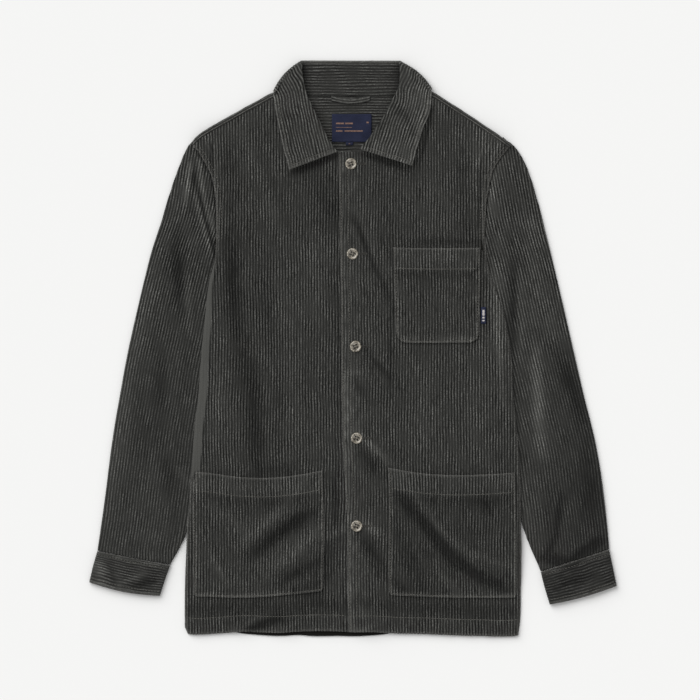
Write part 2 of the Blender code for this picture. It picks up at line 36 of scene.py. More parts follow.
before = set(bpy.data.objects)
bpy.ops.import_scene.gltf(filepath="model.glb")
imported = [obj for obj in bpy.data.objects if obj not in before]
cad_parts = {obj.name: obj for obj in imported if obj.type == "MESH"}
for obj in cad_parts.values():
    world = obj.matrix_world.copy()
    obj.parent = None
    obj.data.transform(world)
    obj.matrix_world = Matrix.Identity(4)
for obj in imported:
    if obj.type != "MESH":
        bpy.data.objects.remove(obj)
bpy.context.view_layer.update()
mm = 0.001
print("frame loaded:", len(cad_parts), "nodes")

cloth = {
    "pitch": 4.03,        # one wale, ridge to ridge
    "perWale": 4,         # mesh columns across one wale
    "pile": 0.95,         # height of a wale over its groove
    "wall": 1.8,          # pile included
    "collarWall": 2.4,
    "seamGap": 0.3,
    "seamDepth": 0.9,     # a row of stitching presses the cloth in this deep
    "rest": 0.7,          # air under a panel that lies on another
    "yokeRest": 0.75,
    "sleeveFlat": 4.1,    # a sleeve pressed flat under the body
    "step": 5.0,          # mesh rows along the wales
}
stitchCut = {
    "length": 3.0, "gap": 1.0, "radius": 0.32, "raise": 0.1,
    "edge": 2.6,                # in from a pocket's edge and from the lap
    "armhole": (2.2, 7.4),      # two rows, in from the body's side
    "shoulder": (112.0, 216.0),
    "hem": {-1: (-226, -8), 1: (-4, 229)},
    "step": 4.0,                # between the points that a row is laid through
}
columnStep = cloth["pitch"] / cloth["perWale"]


# Curves and soft steps


def eased(t):
    t = np.clip(t, 0.0, 1.0)
    return t * t * (3 - 2 * t)


def through(points):  # a smooth curve of value by key, from (key, value) pairs
    points = sorted(points)
    keys = np.array([p[0] for p in points], float)
    values = np.array([p[1] for p in points], float)
    slopes = np.gradient(values, keys)

    def curve(q):
        q = np.clip(np.asarray(q, float), keys[0], keys[-1])
        i = np.clip(np.searchsorted(keys, q) - 1, 0, len(keys) - 2)
        h = keys[i + 1] - keys[i]
        t = (q - keys[i]) / h
        ends = (2 * t**3 - 3 * t**2 + 1) * values[i] + (3 * t**2 - 2 * t**3) * values[i + 1]
        return ends + (t**3 - 2 * t**2 + t) * h * slopes[i] + (t**3 - t**2) * h * slopes[i + 1]

    return curve


def straight(points):  # as through, with straight lines between the points
    points = sorted(points)
    keys, values = [p[0] for p in points], [p[1] for p in points]
    return lambda q: np.interp(q, keys, values)


def toSegment(x, y, x1, y1, x2, y2):  # distance to a segment, and how far along it, 0 to 1
    dx, dy = x2 - x1, y2 - y1
    t = np.clip(((x - x1) * dx + (y - y1) * dy) / (dx * dx + dy * dy), 0.0, 1.0)
    return np.hypot(x - x1 - t * dx, y - y1 - t * dy), t


def creased(table, x, y):  # rows are x1, y1, x2, y2, half width, height: ridges up, troughs down
    total = np.zeros(np.broadcast(x, y).shape)
    for x1, y1, x2, y2, halfWidth, height in table:
        away, t = toSegment(x, y, x1, y1, x2, y2)
        total += height * np.exp(-((away / halfWidth) ** 2)) * (0.25 + 0.75 * np.sin(math.pi * t))
    return total


def ripple(x, y, size, seed):  # slow unevenness from a few fixed waves, about -1 to 1
    rng = random.Random(seed)
    total = 0.0
    for _ in range(6):
        angle, turn = rng.uniform(0, math.pi), rng.uniform(0, 6.28)
        wave = 2 * math.pi / (size * rng.uniform(0.7, 1.6))
        total = total + np.sin((x * math.cos(angle) + y * math.sin(angle)) * wave + turn)
    return total / 3.0


def bell(distance, width):
    return np.exp(-((distance / width) ** 2))


def rounded(distance, turn):  # 0 at an edge, 1 once past its round
    q = np.clip(distance / turn, 0.0, 1.0)
    return np.sqrt(np.clip(1 - (1 - q) ** 2, 0.0, 1.0))


# Outlines of the body

body = {
    "sideLeft": (
        (-394, -227.4), (-388, -230.6), (-375, -231.4), (-347.8, -231.5), (-278.8, -229.8), (-245.6, -228.6),
        (-209.8, -225.6), (-162.8, -221.8), (-107.6, -217.8), (-70.4, -213.2), (-19.3, -209.6),
        (38.6, -204), (92.5, -197.5), (121.4, -190.5), (150, -188.4), (200, -189),
        (223, -191.6), (243.6, -198), (258.5, -206.3), (271, -213.2), (281, -221),
    ),
    "sideRight": (
        (-393.3, 229.8), (-371.2, 231.6), (-331.2, 232.5), (-269.1, 233.7), (-240.1, 232.5),
        (-182.2, 231.8), (-127, 228.4), (-71.8, 222.9), (-5.5, 218.7), (51.1, 208),
        (73.1, 200.5), (100, 191.5), (121.4, 186), (150, 183.5), (190, 184.8),
        (218, 188.4), (248.4, 196.6), (262, 205), (271, 212), (281, 220),
    ),
    "shoulder": (
        (-227, 279), (-218, 290.4), (-208.4, 298.8), (-194.6, 307.2), (-174.6, 318.2),
        (-145.6, 334.6), (-115.2, 351), (-100, 358), (100, 359), (115.2, 352),
        (140.1, 335.8), (166.3, 319), (189.7, 303.2), (207.6, 290.8), (219, 282), (228, 273),
    ),
    "neckline": (
        (0, 270.6), (20, 271.2), (40, 279), (60, 294), (80, 313), (97, 338), (105, 354),
    ),
    "hem": (
        (-232, -393.6), (-222, -395.6), (-210, -395.6), (-191, -394.6), (-172, -393.2), (-150, -391.8),
        (-118, -393), (-96, -393.2), (-78, -391.8), (-56, -391), (-18, -391.4), (0, -392.4),
        (30, -392.4), (60, -394.2), (99, -395), (118, -395.8), (137, -396.6), (157, -397.3),
        (176, -397.6), (195, -398.3), (215, -398.2), (225, -397.6), (234, -394.4),
    ),
    "lap": (
        (-395, -4.6), (-367, -5.8), (-262, -6.9), (-156, -12.1), (-72, -14.5),
        (-44, -15.2), (100, -16.6), (200, -18.2), (273, -20),
    ),
    "underlap": 27.0,     # how far the lower front reaches under the upper one
    "lapLift": 2.4,       # how much higher the upper front rides there
    "loft": 3.0,          # air between the fronts and the back
    "edgeRun": 34.0,      # the cloth takes this much to come down to an edge
    "hemRun": 45.0,
    "yokeStart": 138.0,   # here the fronts start to climb on to the yokes
    "yokeRun": 45.0,
    "liftRun": 42.0,      # how far into the body the cloth takes to come down off a sleeve
    "neckHalf": 105.0,
    "hemBand": 22.5,      # hem edge to its stitching
    "lapBand": 12.0,      # lap edge to its stitching
    "edgeTurn": 4.1,      # how far in a turned edge has come round
    "yokeForward": 8.4,   # how far the outer yoke comes over the shoulder
    "armholeFrom": 100.0, "armholeRun": 40.0,
    "armholeDip": {-1: 2.4, 1: 3.7},
}
sideX = {-1: through(body["sideLeft"]), 1: through(body["sideRight"])}
shoulderY = straight(body["shoulder"])
necklineY = through(body["neckline"])
hemY = through(body["hem"])
lapX = through(body["lap"])

# The hidden edge of each sleeve, which the body rides over: shoulder, armpit, crotch, cuff seam
sleeveInner = {
    -1: ((-208, 292), (-147, 118.7), (-228.4, -252.5), (-251.4, -299.2)),
    1: ((205, 290), (147, 118.7), (232.5, -243), (259.7, -308.2)),
}

foldsOfFronts = (  # x1, y1, x2, y2, half width, height
    (-52, -222, -155, -308, 11, -2.6), (-42, -206, -140, -272, 11, 2.2), (-44, -258, -128, -326, 10, 2.2),
    (-38, -282, -110, -341, 7, -1.8), (-205, -215, -170, -245, 9, -1.2), (-205, -255, -168, -335, 9, 1.2),
    (62, -198, 138, -290, 11, -2.9), (125, -278, 214, -336, 10, -2.6), (78, -190, 165, -275, 11, 2),
    (50, -232, 120, -322, 11, 2), (8, -121, 30, -138, 6, 1.8), (28, -136, 48, -162, 7, 1.6),
    (16, -134, 42, -178, 8, -1.4), (16, -243, 52, -270, 6, 2), (14, -262, 44, -300, 8, -1.4),
    (-5, -250, -42, -262, 6, 1.6), (-8, -240, -40, -236, 6, -1), (2, 182, 48, 66, 8, -1.8),
    (18, 182, 60, 100, 9, 1.2), (20, -2, 50, -66, 8, -1.6), (12, -14, 40, -72, 8, 1.2),
    (-162, 150, -160, 40, 13, -1.6), (-155, -25, -135, -165, 12, -1.8), (-183, -10, -187, -140, 10, 1.4),
    (-112, 150, -104, 30, 10, -1.2), (-138, 120, -132, 0, 11, 1), (-70, 130, -62, -60, 16, 1),
    (-148, 290, -128, 170, 12, 1), (-110, 240, -118, 170, 12, -0.9), (-36, 240, -34, 150, 13, -1.2),
    (-24, 120, -26, -100, 9, -0.9), (150, 262, 146, 160, 16, 0.9), (105, 240, 100, 160, 14, -0.8),
    (110, -20, 118, -140, 16, 1), (160, -20, 172, -140, 14, -0.8), (190, 100, 207, -90, 7, 1.2),
    (75, -20, 70, -150, 12, -0.8),
)

hemCreases = (  # as above, on the hem's band, which stands off the back here and there
    (-166, -396, -112, -362, 8, 2.6), (-150, -398, -92, -368, 7, -1.2), (-112, -396, -70, -384, 9, 2.2),
    (-60, -396, -8, -388, 8, 2), (-30, -380, 20, -372, 7, 1.4), (6, -396, 46, -376, 6, 2.2),
    (60, -392, 96, -372, 8, 1.2), (120, -392, 150, -372, 9, 1.2), (-210, -392, -186, -372, 7, 1.2),
    (178, -396, 200, -374, 8, 1),
)


def lift(x, y):  # the body rides up over the hidden edge of each sleeve
    height = np.zeros(np.broadcast(x, y).shape)
    for side, line in sleeveInner.items():
        away = np.full(height.shape, np.inf)
        for start, end in zip(line, line[1:]):
            away = np.minimum(away, toSegment(x, y, *start, *end)[0])
        crossing = np.interp(y, [p[1] for p in line[::-1]], [p[0] for p in line[::-1]])
        away = np.where((x - crossing) * side > 0, 0.0, away)
        rise = (cloth["sleeveFlat"] + 0.5) * (1 - eased((away - 2.0) / body["liftRun"]))
        height = np.where(x * side > 0, rise, height)
    return height


def frontUnder(side, x, y):  # underside of a front, without the turn at its edges
    run = body["edgeRun"]
    inside = np.minimum((x - sideX[-1](y)) / run, (sideX[1](y) - x) / run)
    rise = eased(inside) * eased((y - hemY(x)) / body["hemRun"]) * eased((shoulderY(x) - y) / run)
    yokes = (cloth["wall"] + cloth["yokeRest"]) * eased((y - body["yokeStart"]) / body["yokeRun"])
    loose = rise * np.maximum(body["loft"] + creased(foldsOfFronts, x, y) + 0.5 * ripple(x, y, 60.0, 3), 0.1)
    under = lift(x, y) + cloth["wall"] + cloth["rest"] + yokes + loose
    if side > 0:
        under = under + body["lapLift"] * (1 - eased((x - body["underlap"] - 2.0) / run))
    return under


def armhole(y):  # 0 below the armpit, 1 where the sleeve is set in
    return eased((y - body["armholeFrom"]) / body["armholeRun"])


def frontFace(side, x, y):  # crest level of a front: seams pressed in, edges turned under
    fromHem, fromTop, fromSide = y - hemY(x), shoulderY(x) - y, (sideX[side](y) - x) * side
    band, groove = fromHem - body["hemBand"], cloth["seamDepth"]
    face = frontUnder(side, x, y) + cloth["wall"] + 0.7 * (1 - eased(band / 1.6)) - groove * bell(band, 1.5)
    waves = 0.45 * ripple(x, y * 0.25, 22.0, 11) + creased(hemCreases, x, y)
    face = face + waves * bell(fromHem - 8.0, 16.0)
    if side > 0:
        fromLap = x - lapX(y)
        crumple = 0.55 * ripple(x * 0.4, y, 17.0, 5) + 0.3 * ripple(x, y, 9.0, 6)
        face = face + crumple * bell(fromLap - 6.0, 6.0) - groove * bell(fromLap - body["lapBand"], 1.4)
        face = face - 1.3 * (1 - rounded(fromLap, 1.8))
    face = face - 1.2 * (1 - rounded(fromHem, 1.8))
    dip = body["armholeDip"][side] * (1 - eased(fromSide / 16.0))   # down to the sleeve's level
    face = face - dip * armhole(y)
    low = lift(x, y) + cloth["seamGap"] + 0.5
    shoulderShare = np.where(np.abs(x) > 100.0, rounded(fromTop, 5.0), 1.0)
    turn = body["edgeTurn"] * (1 - 0.55 * armhole(y))   # sewn flat where the sleeve is set in
    return low + (face - low) * np.minimum(rounded(fromSide, turn), shoulderShare)


# Cloth as a closed wall: a fine outer face with its wales, a plain coarse inner face

pileAndPaintedLightStrokes = (  # x1, y1, x2, y2, half width, lighter or darker: where a hand has brushed the pile, and painted shade in fold troughs, painted highlights on ridges, painted shadows under the collar's leaves
    (-169, 160, -162, 20, 13, -0.5), (-160, 30, -142, -60, 10, -0.2), (-138, -25, -131, -178, 12, -0.45),
    (-180, -35, -177, -125, 12, 0.28), (-169, 275, -167, 172, 9, -0.22), (-155, 308, -98, 150, 6, 0.16),
    (-140, 300, -88, 160, 6, -0.14), (-48, 240, -26, 172, 17, -0.3), (-52, 155, -50, 45, 12, 0.2),
    (-117, 90, -114, -5, 9, -0.22), (-95, 60, -90, -120, 14, 0.12), (0, 187, 31, 108, 4.5, -0.45),
    (31, 112, 56, 56, 4.5, -0.4), (12, 178, 42, 108, 6, 0.2), (12, 6, 50, -40, 4.5, -0.5),
    (16, -2, 52, -28, 4, 0.2), (-6, -34, 12, -34, 4, 0.5), (2, -46, 20, -70, 8, -0.3),
    (8, -118, 53, -160, 4.5, 0.75), (4, -134, 40, -176, 9, -0.4), (10, -240, 42, -258, 4.5, 0.7),
    (12, -258, 42, -306, 9, -0.45), (-40, -263, -8, -250, 4, 0.5), (-24, -178, -24, -252, 6, -0.35),
    (-8, -30, -3, -150, 8, 0.35), (52, 55, 52, -68, 3.5, -0.35), (169, 308, 172, 160, 6, 0.22),
    (150, 270, 152, 160, 10, -0.18), (74, 147, 178, 147, 4, -0.4), (194, 118, 208, -80, 5, 0.7),
    (100, -25, 100, -145, 13, 0.14), (160, -20, 166, -150, 10, 0.1), (-52, -224, -92, -248, 10, -0.5),
    (-80, -240, -146, -290, 10, -0.5), (-70, -194, -150, -270, 6, 0.35), (-44, -250, -114, -309, 8, 0.35),
    (-42, -291, -104, -326, 7, -0.45), (-198, -284, -168, -330, 4, 0.45), (-212, -206, -146, -254, 6, 0.2),
    (64, -206, 110, -254, 8, -0.6), (104, -248, 140, -294, 8, -0.7), (136, -290, 178, -318, 8, -0.65),
    (172, -314, 216, -333, 8, -0.6), (78, -194, 124, -254, 6, 0.35), (118, -248, 166, -288, 6, 0.35),
    (160, -284, 222, -302, 6, 0.3), (60, -246, 98, -338, 13, -0.3), (110, -306, 150, -338, 6, 0.25),
    (182, -210, 190, -226, 10, -0.3), (224, 118, 223, -4, 9, -0.5), (246, 175, 250, -10, 9, 0.2),
    (253, -6, 262, -148, 8.5, 0.95), (280, 4, 318, -95, 13, -0.5), (314, -90, 340, -262, 18, -0.3),
    (234, -178, 243, -255, 7, 0.3), (287, -200, 280, -262, 5, -0.45), (282, -258, 266, -288, 5, -0.4),
    (262, -290, 302, -298, 7, -0.8), (298, -298, 344, -266, 7, -0.8), (-152, -380, -78, -378, 13, -0.3),
    (-26, -266, -52, -342, 14, -0.32), (-17, 238, -17, 172, 10, -0.3), (-292, -334, -262, -304, 10, -0.3),
    (-354, -292, -345, -320, 8, 0.75), (230, 100, 232, -14, 7, 0.4), (-264, 4, -268, -130, 9, -0.25),
    (-18, 152, -17, -166, 8, -0.2), (-100, 12, -100, -156, 10, -0.2), (240, 204, 262, 122, 9, 0.25),
    (-92, -336, -54, -336, 8, -0.3), (54, -322, 82, -342, 8, -0.35), (2, -362, 46, -362, 9, 0.22),
    (28, 284, 54, 270, 7, 0.25), (88, 362, 130, 322, 8, 0.25), (-122, -169, -78, -165, 8, -0.3),
    (56, 336, 74, 320, 8, -0.3), (204, 156, 204, -12, 9, 0.32), (260, 96, 286, -14, 14, 0.24),
    (-106, 344, -92, 370, 8, 0.35), (198, 288, 205, 258, 8, 0.25), (-86, 239.5, -22, 264, 3.8, -0.6),
    (14, 267, 84, 244, 3.8, -0.6), (92, 250, 112, 338, 3, -0.45), (-166, -393, -116, -366, 5, 0.25),
    (-156, -394, -100, -372, 5, -0.5), (-120, -392, -76, -380, 5, 0.2), (2, -394, 40, -380, 5, 0.25),
    (-322, -327, -281, -309, 3.5, 0.4), (-312, -332, -274, -321, 4, -0.35),
    (-348, -305, -326, -314, 3.5, 0.3), (-334, -300, -329, -328, 4, -0.3), (281, -331, 331, -314, 4.5, -0.35),
    (302, -340, 345, -324, 4, 0.3), (197, 276, 196, 178, 8, 0.3), (-224, 256, -231, 198, 3.2, 0.9),
    (-217.5, 250, -222, 205, 3, -0.5), (-211, 258, -203.6, 204, 3.4, 1), (-203.6, 206, -188, 150, 3.4, 1.1),
    (-214, 222, -201, 166, 2.6, -0.75), (-202, 172, -189, 122, 2.6, -0.75), (-224, 228, -205, 168, 3.2, 0.7),
    (-205, 170, -194, 128, 3.2, 0.7), (-188.6, 298, -188.6, 150, 2, 0.5), (-194, 292, -194, 215, 2.6, -0.45),
    (-205, 292, -192, 262, 1.4, 0.5), (-199, 296, -188, 272, 1.4, 0.45), (181.5, 256, 180, 146, 1.5, 1.2),
    (185.6, 304, 174.6, 256, 1.6, 0.6), (196, 296, 180.5, 262, 1.6, 0.6), (204, 288, 186, 246, 1.8, 0.7),
    (190, 260, 190, 190, 4, 0.5), (176, 250, 175, 170, 2, -0.4), (-242, 160, -238, 45, 11, -0.5),
    (-228, 98, -224, 20, 5, 0.5), (-274, 125, -318, -70, 7, 0.3), (-314, -50, -342, -240, 7, 0.3),
    (-262, -144, -250, -200, 10, -0.25), (-246, -160, -216, -197, 5, 0.3), (-300, -40, -285, -160, 14, -0.12),
    (72, 324, 90, 286, 6, -0.25), (100, 345, 84, 262, 5, 0.25), (140, -200, 140, -330, 70, -0.1),
    (300, -150, 318, -300, 50, -0.16),
)


# the pile's brushed tone together with painted shade and painted highlights on folds and painted shadows
# under the collar
def pileAndPaintedLight(x, y):
    shade = np.ones(np.shape(x))
    for x1, y1, x2, y2, halfWidth, amount in pileAndPaintedLightStrokes:
        away, t = toSegment(x, y, x1, y1, x2, y2)
        shade = shade + 1.25 * amount * bell(away, halfWidth) * (0.45 + 0.55 * np.sin(math.pi * t))
    shade = shade + 0.04 * ripple(x, y * 0.4, 75.0, 91) + 0.03 * ripple(x, y * 0.4, 30.0, 94)
    return np.clip(shade, 0.4, 2.1)


def waleShape(wales):  # 0 in a groove, 1 on a crest
    phase = wales - np.floor(wales)
    return 1 - np.abs(2 * phase - 1) ** 2.2


def unit(v):
    return v / np.maximum(np.linalg.norm(v, axis=-1, keepdims=True), 1e-9)


def gridNormals(points):
    return unit(np.cross(np.gradient(points, axis=1), np.gradient(points, axis=0)))


def slopeNormals(height, x, y, reach=0.7):  # normals of a height field
    slopeX = (height(x + reach, y) - height(x - reach, y)) / (2 * reach)
    slopeY = (height(x, y + reach) - height(x, y - reach)) / (2 * reach)
    return unit(np.stack([-slopeX, -slopeY, np.ones_like(slopeX)], axis=-1))


def everyNth(count, step):
    picked = list(range(0, count, step))
    if picked[-1] != count - 1:
        picked.append(count - 1)
    return picked


def lyingPile(x, y):  # 1 where the wales stand clear, near 0 where the pile is pressed over and they fade
    return 0.78 + 0.36 * ripple(x, y * 0.45, 19.0, 96) + 0.1 * ripple(x, y * 0.5, 70.0, 98)


def addObject(name, data):
    made = bpy.data.objects.new(name, data)
    bpy.context.scene.collection.objects.link(made)
    return made


def addPiece(name, mesh, material, smooth=True):
    if smooth:
        mesh.shade_smooth()
    mesh.materials.append(material)
    return addObject(name, mesh)


def addMesh(name, bm, material, smooth=True):
    mesh = bpy.data.meshes.new(name)
    bm.to_mesh(mesh)
    bm.free()
    return addPiece(name, mesh, material, smooth)


def quads(rows, columns, offset, turned=False):  # faces of a grid of points numbered row by row
    r, c = np.meshgrid(np.arange(rows - 1), np.arange(columns - 1), indexing="ij")
    a = (offset + r * columns + c).ravel()
    corners = [a, a + 1, a + columns + 1, a + columns]
    return np.stack([corners[k] for k in ((0, 3, 2, 1) if turned else (0, 1, 2, 3))], axis=1).tolist()


def makeWall(name, points, wales, along, material, normals, depth=None, loop=None, inner=(8, 3), wear=0.0,
             napAndPaintedLight=1.0, clear=1.0, pile=None):
    # points is rows by columns by 3, the grooves' level: wales rise from it, and depth of wall is under it.
    pile = cloth["pile"] if pile is None else pile
    depth = cloth["wall"] - cloth["pile"] if depth is None else depth
    rows, columns = points.shape[:2]
    wear, napAndPaintedLight, clear = [np.broadcast_to(v, (rows, columns)) for v in (wear, napAndPaintedLight, clear)]
    clear = np.clip(lyingPile(points[..., 0], points[..., 1]), 0.12, 1.1) * clear
    relief = 1 - (1 - waleShape(wales)) * (0.12 + 0.88 * np.clip(clear, 0.0, 1.0))
    outer = points + normals * (relief * pile)[..., None]
    pickR, pickC = everyNth(rows, inner[1]), everyNth(columns, inner[0])
    picked = np.ix_(pickR, pickC)
    offset, wide = rows * columns, len(pickC)
    verts = np.concatenate([outer.reshape(-1, 3), (points - normals * depth)[picked].reshape(-1, 3)]) * mm
    faces = quads(rows, columns, 0) + quads(len(pickR), wide, offset, turned=True)
    if loop != "rows":   # close the first and last row, then the first and last column
        base, last = (rows - 1) * columns, offset + (len(pickR) - 1) * wide
        for k in range(wide - 1):
            run = list(range(pickC[k], pickC[k + 1] + 1))
            faces.append([offset + k, offset + k + 1] + run[::-1])
            faces.append([last + k + 1, last + k] + [base + c for c in run])
    if loop != "columns":
        for k in range(len(pickR) - 1):
            run = [r * columns for r in range(pickR[k], pickR[k + 1] + 1)]
            low = offset + k * wide
            faces.append([low + wide, low] + run)
            faces.append([low + wide - 1, low + 2 * wide - 1] + [r + columns - 1 for r in run[::-1]])
    mesh = bpy.data.meshes.new(name)
    mesh.from_pydata(verts.tolist(), [], faces)
    uv = np.stack([wales, along / cloth["pitch"]], axis=-1)
    uv = np.concatenate([uv.reshape(-1, 2), uv[picked].reshape(-1, 2)])
    loops = np.empty(len(mesh.loops), np.int64)
    mesh.loops.foreach_get("vertex_index", loops)
    mesh.uv_layers.new(name="wales").data.foreach_set("uv", uv[loops].ravel())
    # one brightness factor: pile tone, painted shade and painted highlights
    pileAndLight = pileAndPaintedLight(verts[:, 0] / mm, verts[:, 1] / mm)
    pileAndLight[:offset] *= napAndPaintedLight.ravel()
    rest = len(verts) - offset
    marks = {
        "wear": np.concatenate([np.clip(wear, 0, 1).ravel(), np.zeros(rest)]),
        "clear": np.concatenate([clear.ravel(), np.ones(rest)]),
        "inside": np.arange(len(verts)) >= offset,
        "napAndPaintedLight": pileAndLight,
    }
    for key, values in marks.items():
        mesh.attributes.new(key, "FLOAT", "POINT").data.foreach_set("value", np.asarray(values, float))
    bm = bmesh.new()
    bm.from_mesh(mesh)
    bmesh.ops.remove_doubles(bm, verts=bm.verts, dist=3e-6)
    bmesh.ops.recalc_face_normals(bm, faces=bm.faces)
    bm.to_mesh(mesh)
    bm.free()
    return addPiece(name, mesh, material)


def groovesUnder(x, y, crest, normals):  # from crest level down to the grooves
    return np.stack([x, y, crest], axis=-1) - normals * cloth["pile"]


def spreadRows(total, lows, highs, step=None):  # fixed distances at each end, even steps between
    step = cloth["step"] if step is None else step
    count = max(int((total - lows[-1] - highs[-1]) / step), 1)
    middle = np.arange(1, count) / count
    share = np.concatenate([np.zeros(len(lows)), middle, np.ones(len(highs))])
    between = lows[-1] * (1 - middle) - highs[-1] * middle
    offset = np.concatenate([lows, between, [-h for h in reversed(highs)]])
    return share[:, None], offset[:, None]


def settle(columns, rows, low, high, left, right, warp):  # a grid of upright wales cut by four curves
    share, offset = rows
    start = np.tile(columns, (len(share), 1))
    x = start
    for _ in range(10):
        y = low(x) * (1 - share) + high(x) * share + offset
        x = np.clip(start + warp(start, y), left(y), right(y))
    return x, low(x) * (1 - share) + high(x) * share + offset


def columnsBetween(x1, x2):
    return np.arange(math.floor(x1 / columnStep), math.ceil(x2 / columnStep) + 1) * columnStep


def mount(piece, node=None):
    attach(piece, "root")
    if node:
        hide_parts(node)


def dress(piece, node):
    mount(piece, node)


# Materials


def srgb(code):  # hex colour to linear light
    parts = [int(code[i:i + 2], 16) / 255 for i in (1, 3, 5)]
    return tuple(p / 12.92 if p <= 0.04045 else ((p + 0.055) / 1.055) ** 2.4 for p in parts) + (1.0,)


def feed(node, inputs):  # a node or a socket is linked to the input, a value is set on it
    for key, value in inputs.items():
        if isinstance(value, bpy.types.Node):
            value = value.outputs[0]
        if isinstance(value, bpy.types.NodeSocket):
            node.id_data.links.new(value, node.inputs[key])
        else:
            node.inputs[key].default_value = value


def addNode(tree, kind, inputs=None, stops=(), **settings):  # stops are a colour ramp's places and colours
    node = tree.nodes.new("ShaderNode" + kind)
    for key, value in settings.items():
        setattr(node, key, value)
    elements = node.color_ramp.elements if stops else ()
    while len(elements) < len(stops):
        elements.new(0.5)
    for element, (place, colour) in zip(elements, stops):
        element.position = place
        element.color = colour if isinstance(colour, tuple) else srgb(colour)
    feed(node, inputs or {})
    return node


def newMaterial(name):
    material = bpy.data.materials.new(name)
    material.use_nodes = True
    tree = material.node_tree
    return material, tree, tree.nodes["Principled BSDF"]


corduroyLook = {
    # groove, flank and crest: painted shade and light across a wale, near-black where the groove is shaded
    "groove": "#0d0d0c", "flank": "#242422", "crest": "#383836", "paintedGlint": "#8e8e8a",
    "pressed": "#31312f",
    "dusty": "#7b7a76",   # rubbed edges, where the pile is short
    # the plain inner face: the cloth's back, darkened further as painted shade where it shows under the hem
    "inside": "#161512",
    "sheen": 0.2, "sheenColour": "#b9b8b5", "roughness": 0.95,
    "wander": 0.36,       # how far a crest strays to the sides, of one wale
    "marks": {            # noise on the wales: scale across and along a wale, then the range that counts
        "run": (1.9, 0.2, 0.2, 0.75),      # the painted highlight on a crest runs for 20 mm or so, then fades
        "breaks": (2.6, 2.2, 0.3, 0.66),   # and is broken every few millimetres
        "tuft": (3.4, 2.9, 0.25, 0.75),    # drawn at 1.5 mm, coarser than real tufts, so that it shows
    },
}


def cutCorduroy(name, look):
    # Cotton corduroy, cut pile, garment washed: matt round wales. The colour paints the light across each
    # wale:
    # near-black painted shade in the grooves, lighter crests, and on each crest a painted highlight, a broken
    # thread of light. Where the pile has been pressed over, the wales fade into an even grey.
    material, tree, shader = newMaterial(name)
    coord = addNode(tree, "UVMap", uv_map="wales")
    across = addNode(tree, "SeparateXYZ", {"Vector": coord})
    bent = addNode(tree, "Mapping", {"Vector": coord, "Scale": (0.8, 0.55, 1.0)})
    wander = addNode(tree, "TexNoise", {"Vector": bent, "Scale": 1.0, "Detail": 2.0, "Roughness": 0.6},
                     noise_dimensions="2D")
    shift = addNode(tree, "Math", {0: wander, 1: look["wander"], 2: -look["wander"] / 2},
                    operation="MULTIPLY_ADD")
    strayed = addNode(tree, "Math", {0: across, 1: shift}, operation="ADD")
    half = addNode(tree, "Math", {0: strayed, 1: 0.5}, operation="PINGPONG")
    crest = addNode(tree, "Math", {0: half, 1: 2.0}, operation="MULTIPLY")
    clear, napAndPaintedLight, wear, inside = [
        addNode(tree, "Attribute", attribute_name=key).outputs["Fac"]
        for key in ("clear", "napAndPaintedLight", "wear", "inside")]
    marks = {}
    for key, (scaleAcross, scaleAlong, low, high) in look["marks"].items():
        at = addNode(tree, "Mapping", {"Vector": coord, "Scale": (scaleAcross, scaleAlong, 1.0)})
        texture = addNode(tree, "TexNoise", {"Vector": at, "Scale": 1.0, "Detail": 2.0, "Roughness": 0.65},
                          noise_dimensions="2D")
        marks[key] = addNode(tree, "MapRange", {"Value": texture, "From Min": low, "From Max": high})
    rough = addNode(tree, "Math", {0: marks["tuft"], 1: 0.7, 2: -0.35}, operation="MULTIPLY_ADD")
    lit = addNode(tree, "Math", {0: crest, 1: rough}, operation="ADD")
    # painted shade in the groove, rising to a lighter crest
    base = addNode(tree, "ValToRGB", {"Fac": lit},
                   stops=[(0.05, look["groove"]), (0.5, look["flank"]), (1.0, look["crest"])])
    # a painted highlight along each crest, narrow, broken into runs
    narrow = addNode(tree, "Math", {0: crest, 1: 2.6}, operation="POWER")
    broken = addNode(tree, "Math", {0: marks["run"], 1: marks["breaks"]}, operation="MULTIPLY")
    line = addNode(tree, "Math", {0: narrow, 1: broken}, operation="MULTIPLY")
    paintedGlints = addNode(tree, "Mix", {"Factor": line, "A": base, "B": srgb(look["paintedGlint"])}, data_type="RGBA")
    lying = addNode(tree, "Mix", {
        "Factor": clear, "A": srgb(look["pressed"]), "B": paintedGlints.outputs["Result"]}, data_type="RGBA")
    # brightness scaled by the attribute: pile tone with painted light and shade
    shaded = addNode(tree, "VectorMath", {0: lying.outputs["Result"], "Scale": napAndPaintedLight}, operation="SCALE")
    rubbed = addNode(tree, "Math", {0: wear, 1: marks["breaks"]}, operation="MULTIPLY")
    worn = addNode(tree, "Mix", {"Factor": rubbed, "A": shaded, "B": srgb(look["dusty"])}, data_type="RGBA")
    # the inner face takes the inside colour, partly painted shade
    final = addNode(tree, "Mix", {
        "Factor": inside, "A": worn.outputs["Result"], "B": srgb(look["inside"])}, data_type="RGBA")
    feed(shader, {
        "Base Color": final.outputs["Result"], "Roughness": look["roughness"], "Specular IOR Level": 0.12,
        "Sheen Weight": look["sheen"], "Sheen Roughness": 0.45, "Sheen Tint": srgb(look["sheenColour"]),
        "Normal": addNode(tree, "Bump", {"Height": marks["tuft"], "Strength": 0.6, "Distance": 0.0007}),
    })
    return material


